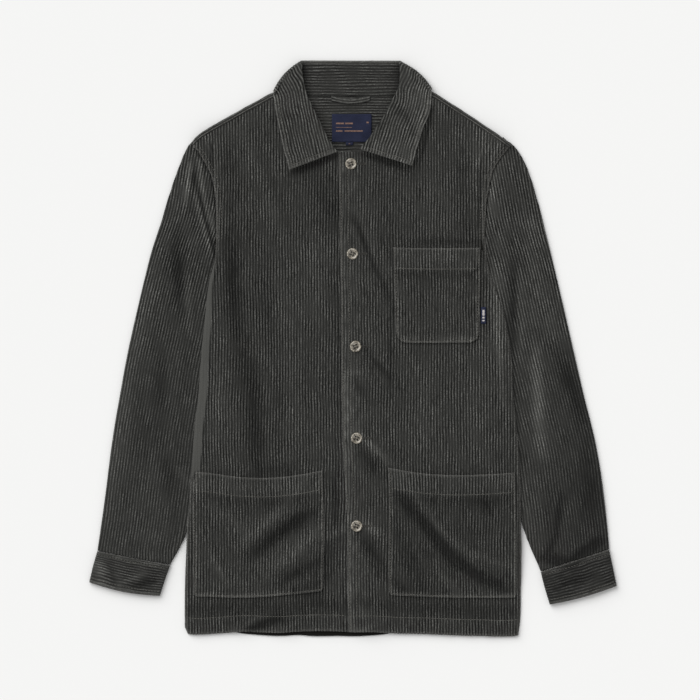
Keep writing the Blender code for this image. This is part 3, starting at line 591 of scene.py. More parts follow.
def wovenCloth(name, dark, light, threadsPerMetre):
    # Woven cotton or polyester with no pile: fine crossing threads, matt.
    material, tree, shader = newMaterial(name)
    place = addNode(tree, "TexCoord").outputs["Object"]
    weave = addNode(tree, "TexWave", {
        "Vector": place, "Scale": threadsPerMetre, "Distortion": 0.6, "Detail": 1.0},
        wave_type="BANDS", bands_direction="DIAGONAL").outputs["Fac"]
    cloud = addNode(tree, "TexNoise", {"Vector": place, "Scale": 60.0, "Detail": 3.0})
    mixed = addNode(tree, "Math", {0: weave, 1: cloud}, operation="MULTIPLY")
    feed(shader, {
        "Base Color": addNode(tree, "ValToRGB", {"Fac": mixed}, stops=[(0.0, dark), (0.7, light)]),
        "Normal": addNode(tree, "Bump", {"Height": weave, "Strength": 0.3, "Distance": 0.0002}),
        "Roughness": 0.85, "Specular IOR Level": 0.2,
    })
    return material


def polishedHorn(name):
    # Cast polyester with a horn look: mottled taupe and cream, polished but soft in its shine.
    material, tree, shader = newMaterial(name)
    place = addNode(tree, "TexCoord").outputs["Object"]
    swirl = addNode(tree, "TexNoise", {"Vector": place, "Scale": 300.0, "Detail": 3.0, "Distortion": 1.6})
    # painted shade and light on the button's face, mixing a shaded and a lit copy of the horn
    out = addNode(tree, "VectorMath", {0: place}, operation="LENGTH").outputs["Value"]
    share = addNode(tree, "Math", {0: out, 1: 0.008}, operation="DIVIDE")
    grey = lambda v: (v, v, v, 1.0)   # mix to the pale horn: the well's floor, painted shade at its foot, painted highlight on the rim
    wellShading = addNode(tree, "ValToRGB", {"Fac": share},
                  stops=[(0.42, grey(0.6)), (0.56, grey(0.0)), (0.76, grey(1.0))])
    # a shaded and a lit copy of the horn's mottling
    dark, pale = [
        addNode(tree, "ValToRGB", {"Fac": swirl}, stops=list(zip((0.36, 0.5, 0.66), colours)))
        for colours in (("#15120f", "#4f483d", "#a49d8e"), ("#27231e", "#766f61", "#b8b2a6"))]
    tone = addNode(tree, "Mix", {"Factor": wellShading, "A": dark, "B": pale}, data_type="RGBA")
    feed(shader, {"Base Color": tone.outputs["Result"], "Roughness": 0.3, "IOR": 1.54, "Coat Weight": 0.2})
    return material


def spunThread(name, dark, light):
    # Spun polyester sewing thread: fine, matt, its two plies just showing.
    material, tree, shader = newMaterial(name)
    place = addNode(tree, "TexCoord").outputs["Object"]
    twist = addNode(tree, "TexNoise", {"Vector": place, "Scale": 900.0, "Detail": 1.0})
    colour = addNode(tree, "ValToRGB", {"Fac": twist}, stops=[(0.3, dark), (0.7, light)])
    feed(shader, {"Base Color": colour, "Roughness": 0.7})
    return material


corduroy = cutCorduroy("charcoalCorduroy", corduroyLook)
labelWeave = wovenCloth("navyDamask", "#121628", "#30354e", 1400.0)
horn = polishedHorn("hornResin")
seamThread = spunThread("seamThread", "#44433f", "#7b7972")
buttonThread = spunThread("buttonThread", "#1d1c1a", "#45433e")
copperThread = spunThread("copperThread", "#6d5246", "#9a7a69")
paleThread = spunThread("paleThread", "#a5a1a2", "#d6d2d0")
print("materials made")


# Fronts, with the outer yoke's forward edge along each shoulder


def waleWander(x, y):  # upright wales lean and waver a little
    lean = 0.9 * ripple(x, y, 160.0, 21) + 0.35 * ripple(x * 0.3, y, 40.0, 22)
    lean = lean + 0.14 * ripple(x * 0.8, y, 12.0, 24)
    return lean * eased((230.0 - np.abs(x)) / 30.0)


def frontTop(x):
    neck = np.minimum(necklineY(np.abs(x)), shoulderY(x))
    return np.where(np.abs(x) > body["neckHalf"], shoulderY(x), neck)


sideStrip = straight([(-400, 0), (-178, 0), (-170, 11.8), (-44, 11.6), (50, 9), (100, 4), (128, 0), (400, 0)])
frontRows = {   # millimetres from the hem and from the top where the mesh has its finer rows
    "fromHem": [0, 0.7, 1.8, 4, 8, 13, 17, 20, 21.5, 22.5, 23.5, 25, 29],
    "fromTop": [0, 0.5, 1.3, 2.4, 3.6, 5.0, 6.4, 7.6, 8.3, 8.9, 10.5, 14],
    "length": 665.0,
    "span": {-1: (-236.0, body["underlap"]), 1: (-24.0, 238.0)},
    "placket": 22.0,   # several layers along the lap, pressed smoother
}


def makeFront(name, side):
    rows = spreadRows(frontRows["length"], frontRows["fromHem"], frontRows["fromTop"])
    left = sideX[-1] if side < 0 else lapX
    right = sideX[1] if side > 0 else (lambda y: np.full(np.shape(y), body["underlap"]))
    columns = columnsBetween(*frontRows["span"][side])
    x, y = settle(columns, rows, hemY, frontTop, left, right, waleWander)
    face = frontFace(side, x, y)
    normals = slopeNormals(lambda a, b: frontFace(side, a, b), x, y)
    fromHem, fromTop, fromSide = y - hemY(x), shoulderY(x) - y, (sideX[side](y) - x) * side
    atShoulder = np.abs(x) > body["neckHalf"] - 1.0
    onYoke = (fromTop < body["yokeForward"]) & atShoulder
    wales = np.where(onYoke, fromTop, x - waleWander(x, y)) / cloth["pitch"]
    face = face + 0.5 * onYoke - 0.7 * bell(fromTop - body["yokeForward"] - 0.3, 0.9) * atShoulder
    wear = 0.5 * bell(fromHem, 2.5) + 0.35 * bell(fromSide, 3.0) + 0.06 * onYoke
    # painted shadow: darker in a band about 36 mm above the hem, under the lower pockets
    napAndPaintedLight = 1 - 0.3 * bell(fromHem - 36.0, 10.0) + 0.01 * (fromHem < body["hemBand"])
    plain = sideStrip(y) * (side < 0)   # the left side's fold: pressed-over pile, plain, and lighter by a painted highlight
    strip = eased((plain - fromSide) / 1.6 + 0.5) * (plain > 0.5)
    clear = 1 - 0.95 * strip
    # the strip is lighter, partly a painted highlight where the fold faces the light; a painted shadow runs
    # along its inner edge
    napAndPaintedLight = napAndPaintedLight + 1.25 * strip - 0.3 * bell(fromSide - plain - 1.4, 1.6) * (plain > 0.5)
    wear = wear * (1 - strip)
    if side > 0:
        fromLap = x - lapX(y)
        placket = 1 - eased((fromLap - frontRows["placket"]) / 10.0)
        wear = wear + 0.4 * bell(fromLap, 1.6)
        napAndPaintedLight = napAndPaintedLight + (0.5 + 0.3 * ripple(x, y, 14.0, 93)) * bell(fromLap - 4.0, 5.5)
        napAndPaintedLight = napAndPaintedLight + (0.1 + 0.16 * ripple(x, y, 20.0, 97)) * placket
        clear = clear * (1 - 0.35 * placket)
    along = np.where(onYoke, x, y)
    return makeWall(name, groovesUnder(x, y, face, normals), wales, along, corduroy, normals,
                    wear=wear, napAndPaintedLight=napAndPaintedLight, clear=clear)


frontLeft = makeFront("frontLeft", -1)
frontRight = makeFront("frontRight", 1)
dress(frontLeft, "front_left")
dress(frontRight, "front_right")
print("fronts made")


# Back and the two yokes

backCut = {
    "inset": 4.4, "top": 190.0, "half": 232.0, "length": 587.0, "step": 12.0,
    "hem": ((-232, -389), (-170, -390.5), (-154, -393.6), (-135, -395.4), (-95, -397.2), (-76, -396),
            (-56, -397.4), (-17, -397.3), (2, -397.7), (21, -397), (41, -395.4), (62, -392), (232, -391)),
}
yokeCut = {
    "neckSeam": 347.6, "neckHalf": 67.0, "neckCorner": 108.0, "columns": 71,
    "outer": {"inset": 4.6, "low": 190.6, "half": 1000.0},   # its width is the body's
    "inner": {"inset": 9.0, "low": 188.2, "half": 196.0, "drop": 10.0},
}


def makeBack():  # its outer face is the one it lies on
    inset = backCut["inset"]
    rows = spreadRows(backCut["length"], [0, 1.2, 4, 10, 20, 24], [0, 2, 6], backCut["step"])
    x, y = settle(columnsBetween(-backCut["half"], backCut["half"]), rows, through(backCut["hem"]),
                  lambda x: np.full(np.shape(x), backCut["top"]),
                  lambda y: sideX[-1](y) + inset, lambda y: sideX[1](y) - inset, waleWander)
    normals = -slopeNormals(lift, x, y)
    points = groovesUnder(x, y, lift(x, y), normals)
    return makeWall("backPanel", points, x / cloth["pitch"], y, corduroy, normals, inner=(4, 2))


def makeLevelWales(name, cut, top, height, downwards):  # a yoke, its wales running across
    halfWidth = lambda y: np.minimum(np.minimum(sideX[1](y), -sideX[-1](y)) - cut["inset"], cut["half"])
    ys = np.arange(0, int((top(0.0) + 12 - cut["low"]) / columnStep)) * columnStep + cut["low"]
    xs = np.linspace(-1, 1, yokeCut["columns"])[:, None]
    y = np.minimum(np.tile(ys, (len(xs), 1)), top(xs * 150.0))
    for _ in range(4):
        x = xs * halfWidth(y)
        y = np.minimum(np.tile(ys, (len(xs), 1)), top(x))
    normals = slopeNormals(height, x, y) * (-1 if downwards else 1)
    points = groovesUnder(x, y, height(x, y) + (0.0 if downwards else cloth["wall"]), normals)
    wales = y / cloth["pitch"] + 0.2 * ripple(x * 0.4, y, 38.0, 23)
    return makeWall(name, points, wales, x, corduroy, normals, inner=(8, 2), clear=0.8, napAndPaintedLight=1.14)


def neckTop(inset):
    def top(x):
        beside = shoulderY(x) - inset - 4.0 * bell(np.abs(x) - yokeCut["neckCorner"], 16.0)
        share = eased((np.abs(x) - yokeCut["neckHalf"]) / 20.0)
        return yokeCut["neckSeam"] + (beside - yokeCut["neckSeam"]) * share
    return top


def innerYokeUnder(x, y):
    return lift(x, y) + cloth["wall"] + cloth["yokeRest"] + 0.25 * ripple(x, y, 60.0, 9) + 0.25


backPanel = makeBack()
outerCut, innerCut = yokeCut["outer"], yokeCut["inner"]
yokeOuter = makeLevelWales("yokeOuter", outerCut, neckTop(outerCut["inset"]), lift, True)
yokeInner = makeLevelWales("yokeInner", innerCut, neckTop(innerCut["drop"]), innerYokeUnder, False)
dress(backPanel, "back")
dress(yokeOuter, "yoke_outer")
dress(yokeInner, "yoke_inner")
print("back and yokes made")


# Patch pockets, stitched down on three sides, their mouths hanging a little open

pockets = {
    "pocketChest": {
        "node": "pocket_chest", "side": 1, "on": "frontRight",
        "napAndPaintedLight": 0.96, "band": 29.0, "corner": 15.0, "gape": 1.4, "foot": 13.0,
        "left": ((6.9, 60.5), (60, 58.6), (112, 56.6), (139.4, 55)),
        "right": ((6.9, 175), (60, 175.6), (112, 176.6), (139.4, 175.4)),
        "top": ((54.5, 139.2), (85, 138.2), (115, 137.9), (150, 138), (176, 138.4)),
        "bottom": ((54, 6.9), (115, 6.6), (177, 7.2)),
    },
    "pocketLowerLeft": {
        "node": "pocket_lower_left", "side": -1, "on": "frontLeft",
        "napAndPaintedLight": 0.98, "band": 26.5, "corner": 5.0, "gape": 2.0, "foot": 6.0,
        "left": ((-344, -219.2), (-270, -219.8), (-210, -221), (-170.4, -217)),
        "right": ((-344, -40.4), (-300, -39.6), (-237, -38.4), (-200, -40), (-168.8, -41.5)),
        "top": ((-219, -170.4), (-195, -172.6), (-165, -177), (-119.4, -179.1), (-75, -175), (-41.5, -168.8)),
        "bottom": ((-221, -343.1), (-135, -344.7), (-80, -340), (-40.8, -335.6)),
    },
    "pocketLowerRight": {
        "node": "pocket_lower_right", "side": 1, "on": "frontRight",
        "napAndPaintedLight": 0.93, "band": 27.5, "corner": 5.0, "gape": 2.0, "foot": 6.0,
        "left": ((-344, 50.4), (-260, 49.6), (-200, 50.4), (-165.2, 49.7)),
        "right": ((-344, 226.6), (-260, 226.8), (-200, 225.2), (-170, 224)),
        "top": ((49.7, -165.2), (90, -172), (135.9, -175.3), (180, -174.5), (225.2, -171.7)),
        "bottom": ((50, -341.4), (141, -345), (229, -345)),
    },
}


def pocketCurves(spec):
    left, right, top, bottom = [through(spec[key]) for key in ("left", "right", "top", "bottom")]
    corner, x1, x2 = spec["corner"], spec["left"][0][1], spec["right"][0][1]

    def low(x):
        return bottom(x) + corner * (1 - rounded(np.minimum(x - x1, x2 - x), corner))

    return left, right, top, low


def pocketReach(spec, x, y):  # how far in from the nearest side, the nearest sewn edge and the mouth
    left, right, top, low = pocketCurves(spec)
    fromSide = np.minimum(x - left(y), right(y) - x)
    return fromSide, np.minimum(fromSide, y - low(x)), top(x) - y


def pocketFace(spec, x, y):
    left, right, top, low = pocketCurves(spec)
    fromSide, fromEdge, fromTop = pocketReach(spec, x, y)
    band = fromTop - spec["band"]
    middle = 1 - (2 * np.clip((x - left(y)) / (right(y) - left(y)), 0, 1) - 1) ** 2
    gape = spec["gape"] * middle * eased(1 - fromTop / 75.0)
    puckered = 0.5 * ripple(x, y, 11.0, 33) * bell(fromEdge - 3.5, 3.5)
    loft = 1.1 * eased((fromEdge - 3.0) / 12.0) + 0.8 * bell(fromEdge - 1.0, 2.0) + puckered + gape
    face = frontUnder(spec["side"], x, y) + 2 * cloth["wall"] + 0.35 + loft
    face = face + 0.35 * ripple(x, y, 26.0, 31) * eased(fromEdge / 14.0)
    face = face + 0.8 * (1 - eased(band / 1.6)) - cloth["seamDepth"] * bell(band, 1.5)
    face = face - 0.7 * bell(fromEdge - stitchCut["edge"], 1.0)
    return face - 1.4 * (1 - rounded(fromEdge, 1.6)) - 1.2 * (1 - rounded(fromTop, 1.8))


def makePocket(name, spec):
    left, right, top, low = pocketCurves(spec)
    band = spec["band"]
    rows = spreadRows(160.0, [0, 0.5, 1.2, 2.0, 2.8, 3.6, 5.0, 8, 12],
                      [0, 0.6, 1.6, 4, 9, 16, band - 3, band - 1, band, band + 1, band + 3])
    columns = columnsBetween(spec["left"][0][1] - 4, spec["right"][0][1] + 4)
    x, y = settle(columns, rows, low, top, left, right, waleWander)
    normals = slopeNormals(lambda a, b: pocketFace(spec, a, b), x, y)
    points = groovesUnder(x, y, pocketFace(spec, x, y), normals)
    fromSide, fromEdge, fromTop = pocketReach(spec, x, y)
    wear = 0.5 * bell(fromEdge, 1.4) + 0.4 * bell(fromTop, 1.8)
    # the band lighter; below it a painted shadow, darker for about 16 mm
    napAndPaintedLight = spec["napAndPaintedLight"] + 0.22 * (fromTop < band) - 0.22 * bell(fromTop - band - 8.0, 8.0)
    napAndPaintedLight = napAndPaintedLight + (0.28 + 0.3 * ripple(x, y, 11.0, 95)) * bell(fromEdge - 3.6, 3.4)
    napAndPaintedLight = napAndPaintedLight + 0.45 * bell(fromTop - band, 1.3) + 0.3 * eased((spec["foot"] - (y - low(x))) / 3.0)
    wales = (x - waleWander(x, y)) / cloth["pitch"]
    return makeWall(name, points, wales, y, corduroy, normals, wear=wear, napAndPaintedLight=napAndPaintedLight)


for name, spec in pockets.items():
    pocket = makePocket(name, spec)
    dress(pocket, spec["node"])
print("pockets made")


# Sleeves and cuffs: flat tubes, the wales keeping step with the outer edge

sleeves = {
    "sleeveLeft": {
        "node": "sleeve_left", "side": -1,
        "outer": ((-211, 292.5), (-225, 281.5), (-230, 273), (-237.3, 256), (-251, 218), (-263, 178),
                  (-276.7, 135.2), (-293.2, 69), (-308.4, 2.8), (-320.8, -63.5), (-331.9, -129.7),
                  (-340.2, -196), (-347.1, -245.6), (-352, -279.7)),
        "inner": ((-147, 118.7), (-151.9, 96.4), (-158.4, 66.7), (-165, 34), (-174.7, -7.5), (-185, -58),
                  (-197.5, -111.4), (-207, -156), (-216.9, -200), (-223, -228), (-231, -260),
                  (-251.4, -299.2)),
    },
    "sleeveRight": {
        "node": "sleeve_right", "side": 1,
        "outer": ((208.5, 291), (219.6, 282), (227.8, 273.2), (237.6, 256), (251.3, 218), (262, 178),
                  (273.8, 130), (288.2, 69), (303.4, 2.8), (318.7, -63.5), (335, -129.7), (346, -196),
                  (351.4, -245.6), (354.3, -277.4)),
        "inner": ((147, 118.7), (152.2, 96.7), (159, 67.6), (166, 34), (175.8, -5.1), (188, -56),
                  (200, -105.3), (210, -150), (220.5, -192), (229, -226), (238, -256), (259.7, -308.2)),
    },
}
cuffs = {
    "cuffLeft": {
        "node": "cuff_left", "side": -1, "napAndPaintedLight": 1.04, "bow": 4.2,
        "outer": ((-352.4, -280.3), (-357.5, -298), (-363.6, -323.2)),
        "inner": ((-251.5, -299.9), (-258.5, -320), (-265.6, -342.1)),
    },
    "cuffRight": {
        "node": "cuff_right", "side": 1, "napAndPaintedLight": 0.76, "bow": 2.6,
        "outer": ((354.3, -278), (359.6, -303), (364.8, -328.4)),
        "inner": ((259.6, -308.9), (265, -331), (272, -354.1)),
    },
    "wall": 2.2, "flat": 5.2, "pitch": 3.55, "length": 102.0, "height": 46.0, "stitchIn": 5.5,
    "folds": (  # as the folds of the sleeves
        (-324, -328, -280, -308, 4, 1.7), (-314, -332, -274, -321, 4.5, -1.3),
        (-349, -304, -324, -315, 4.5, 1.3), (-336, -298, -329, -330, 4.5, -1.1),
        (281, -331, 331, -313, 5, -1.5), (300, -340, 346, -323, 4.5, 1.3),
        (284, -312, 300, -344, 5, 1), (330, -290, 352, -318, 5, 1),
    ),
}
foldsOfSleeves = (  # x1, y1, x2, y2, half width, height
    (-221.5, 275, -226, 204, 5.5, 1.8), (-213, 262, -206, 218, 5, 2.4), (-206, 222, -194, 138, 5.5, 2.6),
    (-203, 238, -190.5, 160, 4, -2), (-216, 225, -206, 150, 6, -1.6), (-196.5, 141, -199, 92, 6, 1.4),
    (-232, 190, -219, 110, 9, 1.4), (-245, 160, -250, 50, 14, -1.6), (-226, 90, -229, 20, 7, 1.6),
    (-270, 120, -284, 20, 14, 1.2), (-300, -30, -255, -70, 13, 1.3), (-270, -80, -285, -180, 12, -1.4),
    (-300, -70, -318, -190, 12, 1.2), (-275, -140, -226, -165, 7, 1.6), (-270, -155, -228, -178, 6, -1.2),
    (-330, -205, -270, -240, 10, 1.2), (-320, -240, -262, -262, 8, -1.4), (-290, -262, -253, -276, 6, 1.2),
    (222, 100, 222, 12, 8, -2.4), (207, 110, 196, 28, 6, 1.4), (238, 120, 240, 10, 9, 1.6),
    (205, 235, 199, 150, 8, 1.2), (259, -25, 257, -148, 8, 2.2), (284, 20, 300, -120, 14, -2),
    (262, 150, 266, 40, 12, 1.2), (276, -200, 274, -280, 6, -2.4), (262, -190, 258, -270, 6, 1.6),
    (266, -276, 300, -297, 5, -2.6), (298, -297, 343, -268, 5, -2.4), (290, -200, 312, -286, 9, 1.6),
    (330, -190, 330, -262, 10, -1.2),
)


def sleeveCurves(spec):  # outer edge, inner edge where it goes under the body, and the line the wales keep to
    byHeight = lambda run: [(y, x) for x, y in run]
    leaning = [p for p in spec["outer"] if p[1] < 200.0]   # below the shoulder the edge runs straight
    guide = through(byHeight(leaning) + [(300.0, leaning[0][0] - spec["side"] * 22.0)])
    return through(byHeight(spec["outer"])), through(byHeight(spec["inner"])), guide


def sleeveRise(spec, x, y):
    side = spec["side"]
    line = sleeveInner[side]
    outer = sleeveCurves(spec)[0](y)
    low = np.interp(y, [p[1] for p in line[:1:-1]], [p[0] for p in line[:1:-1]])
    fromBody = (x - np.where(y > line[2][1], sideX[side](y), low)) * side
    sewn = eased((y - 90.0) / 60.0)   # sewn to the armhole up here, only tucked under the body lower down
    near = eased((fromBody - 5.0) / 26.0) * (1 - sewn)
    near = near + (0.8 + 0.2 * eased(fromBody / 30.0)) * sewn * eased(fromBody / 2.5)
    loose = 3.4 + 1.6 * sewn + creased(foldsOfSleeves, x, y) + 0.5 * ripple(x, y, 45.0, 41)
    return eased((outer - x) * side / 26.0) * near * np.maximum(loose, 0.3)


def wrapTube(x, y, near, outward, flat, rise, edges=0.0):  # over the top and back underneath, from one grid
    half = flat / 2
    share = rounded(near, half)
    outward = outward * (1 - np.clip(near / half, 0, 1))[..., None]
    up = slopeNormals(rise, x, y)
    down = np.zeros_like(up) + np.array([0, 0, -1.0])
    top = np.stack([x, y, half + (half + rise(x, y) + edges) * share], axis=-1)
    bottom = np.stack([x, y, half - half * share], axis=-1)
    up, down = [unit(outward + n * share[..., None]) for n in (up, down)]
    points = np.concatenate([top, bottom[:, ::-1]], axis=1)
    normals = np.concatenate([up, down[:, ::-1]], axis=1)
    return points - normals * cloth["pile"], normals, top


def makeSleeve(name, spec):
    side = spec["side"]
    outer, inner, guide = sleeveCurves(spec)
    left, right = (outer, inner) if side < 0 else (inner, outer)
    high, low = [straight([spec["outer"][k], spec["inner"][k]]) for k in (0, -1)]
    lean = lambda x, y: guide(y) - guide(0.0) + 0.8 * ripple(x, y, 120.0, 43)
    span = sorted([guide(0.0) + side * 60.0, guide(0.0) - side * 200.0])
    x, y = settle(columnsBetween(*span), spreadRows(590.0, [0, 1.5, 4], [0, 3]), low, high, left, right, lean)
    fromLeft, fromRight = x - left(y), right(y) - x
    isLeft = fromLeft < fromRight
    slant = np.where(isLeft, left(y + 1) - left(y - 1), right(y + 1) - right(y - 1)) / 2
    sign = np.where(isLeft, -1.0, 1.0)
    outward = unit(np.stack([sign, -sign * slant, np.zeros_like(slant)], axis=-1))
    points, normals, _ = wrapTube(x, y, np.minimum(fromLeft, fromRight), outward, cloth["sleeveFlat"],
                                  lambda a, b: sleeveRise(spec, a, b))
    wales = (x - lean(x, y)) / cloth["pitch"]
    wales, along = [np.concatenate([v, v[:, ::-1]], axis=1) for v in (wales, y)]
    clear = 0.68 + 0.3 * eased((along + 60.0) / 200.0)
    return makeWall(name, points, wales, along, corduroy, normals, loop="columns", napAndPaintedLight=1.02, clear=clear)


sewn = []   # paths on the cuffs and the collar that get their stitches further on


def cuffRise(side, x, y):
    loose = 0.9 + creased(cuffs["folds"], x, y) + 0.4 * ripple(x, y, 26.0, 51 + side)
    return np.maximum(loose + 0.3 * ripple(x, y, 11.0, 53), -0.6)


def makeCuff(name, spec):
    side, height, stitchIn = spec["side"], cuffs["height"], cuffs["stitchIn"]
    count = int(height / columnStep) + 3
    v = np.linspace(0, 1, count)[:, None]
    runs = [np.array(spec[key]) for key in ("outer", "inner")]
    ox, oy, ix, iy = [through(list(zip((0.0, 0.5, 1.0), run[:, c])))(v) for run in runs for c in (0, 1)]
    width = np.hypot(ix - ox, iy - oy)
    steps = [0, 0.3, 0.8, 1.6, 2.4, *np.linspace(4.5, 98.0, 24), 99.4, 100.2, 101.0, 101.5, 101.8]
    steps = np.array(steps) / 101.8
    x, y = ox + (ix - ox) * steps, oy + (iy - oy) * steps - spec["bow"] * v * np.sin(math.pi * steps)
    reach = np.stack([ix - ox, iy - oy, 0 * ox], axis=-1) / width[..., None]
    outward = np.where((steps < 0.5)[None, :, None], -reach, reach)
    along = v * height
    edges = 0.5 * bell(along, 3.0) + 0.5 * bell(height - along, 3.0)
    edges = edges - 0.7 * bell(along - stitchIn, 1.1) - 0.7 * bell(height - stitchIn - along, 1.1)
    points, normals, top = wrapTube(x, y, np.minimum(steps, 1 - steps) * width, outward, cuffs["flat"],
                                    lambda a, b: cuffRise(side, a, b), edges)
    for place in (stitchIn, height - stitchIn):
        sewn.append(top[int(round(place / height * (count - 1))), 4:-4])
    across, px, py = (1, points.shape[1]), points[..., 0], points[..., 1]
    wales = np.tile(along / cuffs["pitch"] + 0.35, across) + 0.16 * ripple(px, py, 30.0, 55)
    bands = 0.3 * bell(along - 3.0, 3.0) + 0.35 * bell(height - 3.0 - along, 3.0)
    napAndPaintedLight = spec["napAndPaintedLight"] + bands * (1 + 0.7 * ripple(px, py, 12.0, 57))
    around = np.tile(np.concatenate([steps, 2 - steps[::-1]]) * cuffs["length"], (count, 1))
    wear = np.tile(0.55 * (bell(along, 2.0) + bell(height - along, 2.0)), across)
    turned = [np.swapaxes(g, 0, 1) for g in (points, wales, around, normals)]
    return makeWall(name, *turned[:3], corduroy, turned[3], depth=cuffs["wall"] - cloth["pile"],
                    loop="rows", inner=(6, 2), wear=wear.T, napAndPaintedLight=napAndPaintedLight.T, clear=0.72)


for name, spec in sleeves.items():
    dress(makeSleeve(name, spec), spec["node"])
for name in ("cuffLeft", "cuffRight"):
    dress(makeCuff(name, cuffs[name]), cuffs[name]["node"])
print("sleeves and cuffs made")


# Collar: one fall that lies open in two leaves and goes behind the neck, and the stand inside it

collar = {
    # roll line x, y, outer edge x, y, turn in degrees: 0 on top, 180 underneath
    "rows": (
        (-20.4, 270.9, -87.6, 245.6, 0), (-27.5, 280, -90.4, 258, 0), (-34.6, 291.2, -94.5, 271.9, 0),
        (-45.7, 314.6, -101.4, 303.6, 0), (-56, 335, -106.9, 332.6, 0), (-64.7, 356, -109, 345, 0),
        (-69.4, 381, -109.2, 350, 0), (-68.6, 392.6, -106.6, 351.2, 0), (-68, 393.2, -106.4, 351.2, 45),
        (-68, 393.2, -106.4, 351.2, 90), (-68, 393.2, -106.4, 351.2, 135), (-67.6, 392.4, -105.5, 351, 180),
        (-60, 391, -86, 351.5, 180), (-40, 391.5, -50, 352, 180), (0, 391.8, 0, 352, 180),
        (38, 391.5, 50, 352, 180), (56, 391, 86, 351.5, 180), (63, 392, 106, 353, 180),
        (63.4, 392.6, 107, 354, 135), (63.4, 392.6, 107, 354, 90), (63.4, 392.6, 107, 354, 45),
        (64, 392, 107.4, 354, 0), (65.2, 380.4, 109.6, 352, 0), (63.6, 361, 109.3, 346, 0),
        (54.5, 342, 106.6, 325.5, 0), (44.6, 322.5, 97.9, 303.6, 0), (25.5, 293.9, 89, 275, 0),
        (17, 283.5, 85.5, 262.5, 0), (9.7, 274.6, 82.5, 251.2, 0),
    ),
    "bulge": 4.6, "stitchIn": 5.6, "fineRows": 330, "curl": 5.6, "hangs": 0.72, "falls": 0.69,
    "standLeft": -70.8, "standRight": 66.8, "standSeam": 348.1, "standTop": 396.8,
}


def leafBase(x, y):
    y = np.minimum(y, shoulderY(x))
    height = np.where(x < 0, frontUnder(-1, x, y), frontUnder(1, x, y))
    return height + cloth["wall"] + cloth["rest"] + cloth["collarWall"]


def collarGrid():
    table, stitchIn = collar["rows"], collar["stitchIn"]
    place = np.linspace(0, len(table) - 1, collar["fineRows"])[:, None]
    rollX, rollY, edgeX, edgeY, turn = [
        through([(k, row[c]) for k, row in enumerate(table)])(place) for c in range(5)]
    turn = np.radians(np.clip(turn, 0.0, 180.0))
    width = np.hypot(rollX - edgeX, rollY - edgeY)
    steps = np.concatenate([[0, 0.4, 1.0], np.arange(2, int(width.max() / columnStep) + 2) * columnStep])
    d = np.minimum(steps[None, :], width)
    u = 1 - d / width
    x = rollX + (edgeX - rollX) * u
    y = rollY + (edgeY - rollY) * u
    radius = leafBase(x, y) / 2
    fromEnd = np.minimum(*[toSegment(x, y, *row[:4])[0] for row in (table[0], table[-1])])
    ply = 0.5 * ripple(x, y, 34.0, 61) + 0.3 * ripple(x, y, 14.0, 62)
    press = -cloth["seamDepth"] * (bell(d - stitchIn, 1.2) + bell(fromEnd - stitchIn, 1.2))
    press = press + 0.5 * ripple(x, y, 10.0, 63) * np.maximum(bell(d - 3.0, 3.0), bell(fromEnd - 3.0, 3.0))
    press = press - 1.5 * (1 - rounded(d, 2.2)) - 1.5 * (1 - rounded(fromEnd, 2.2))
    press = press + collar["curl"] * bell(fromEnd, 26.0) * eased(d / 40.0 + 0.5)
    press = press + 1.4 * bell(d, 10.0) + 0.6 * bell(fromEnd, 4.0)
    roll = 2.2 * bell(width - d, 10.0)
    reach = radius + (ply * 0.8 + press + roll) * np.cos(turn / 2) ** 2
    bulge = collar["bulge"] * 4 * u * (1 - u) * eased((rollY - 352.0) / 30.0)
    push = radius * np.sin(turn) + bulge * eased((np.abs(x) - 40.0) / 40.0)
    side = np.where(x < 0, -1.0, 1.0)
    points = [x + side * collar["hangs"] * push, y + collar["falls"] * push, radius + reach * np.cos(turn)]
    return np.stack(points, axis=-1), d, fromEnd


def makeCollarFall():
    points, d, fromEnd = collarGrid()
    normals = gridNormals(points)
    bad = np.concatenate([np.zeros((len(d), 1), bool), np.diff(d, axis=1) < 0.2], axis=1)
    for column in range(1, d.shape[1]):   # where rows run out at the roll line, the last good normal
        spoiled = bad[:, column]
        normals[spoiled, column] = normals[spoiled, column - 1]
    normals = normals * np.sign(normals[0, 4, 2])
    lengths = np.linalg.norm(np.diff(points[:, 5], axis=0), axis=1)
    along = np.concatenate([[0], np.cumsum(lengths)])[:, None] + 0 * d
    wear = 0.6 * bell(d, 1.6) + 0.6 * bell(fromEnd, 1.6)
    x, y = points[..., 0], points[..., 1]
    edgeBand = np.maximum(bell(d - 2.8, 2.6), bell(fromEnd - 2.8, 2.6))
    # leaves lighter than the body, the right leaf more, edges lighter still: pile tone and painted light
    # together
    napAndPaintedLight = np.where(x < 0, 1.2, 1.36) + edgeBand * (0.35 + 0.3 * ripple(x, y, 9.0, 65))
    wales = d / cloth["pitch"] + 0.25 + 0.16 * ripple(x, y, 26.0, 64)
    half = len(d) // 2
    stitched = np.argmin(np.abs(d[0] - collar["stitchIn"]))
    for rows in (slice(0, half), slice(half, None)):
        edge = points[rows, stitched][np.abs(normals[rows, 4, 2]) > 0.8]
        sewn.append(edge[edge[:, 1] < 350.0])
        across = np.argmin(np.abs(fromEnd[rows] - collar["stitchIn"]), axis=0)
        end = points[rows][across, np.arange(d.shape[1])]
        sewn.append(end[stitched:int(70.0 / columnStep)])
    return makeWall("collarFall", points - normals * cloth["pile"], wales, along, corduroy,
                    normals, depth=cloth["collarWall"] - cloth["pile"], wear=wear, napAndPaintedLight=napAndPaintedLight, clear=0.9)


def standFace(x, y):
    low = cloth["collarWall"] + 0.7 + cloth["wall"]
    face = low + 0.9 * eased((y - 352.0) / 20.0) + 0.35 * ripple(x, y, 30.0, 71)
    return 0.5 + (face - 0.5) * rounded(collar["standTop"] - y, 4.2)


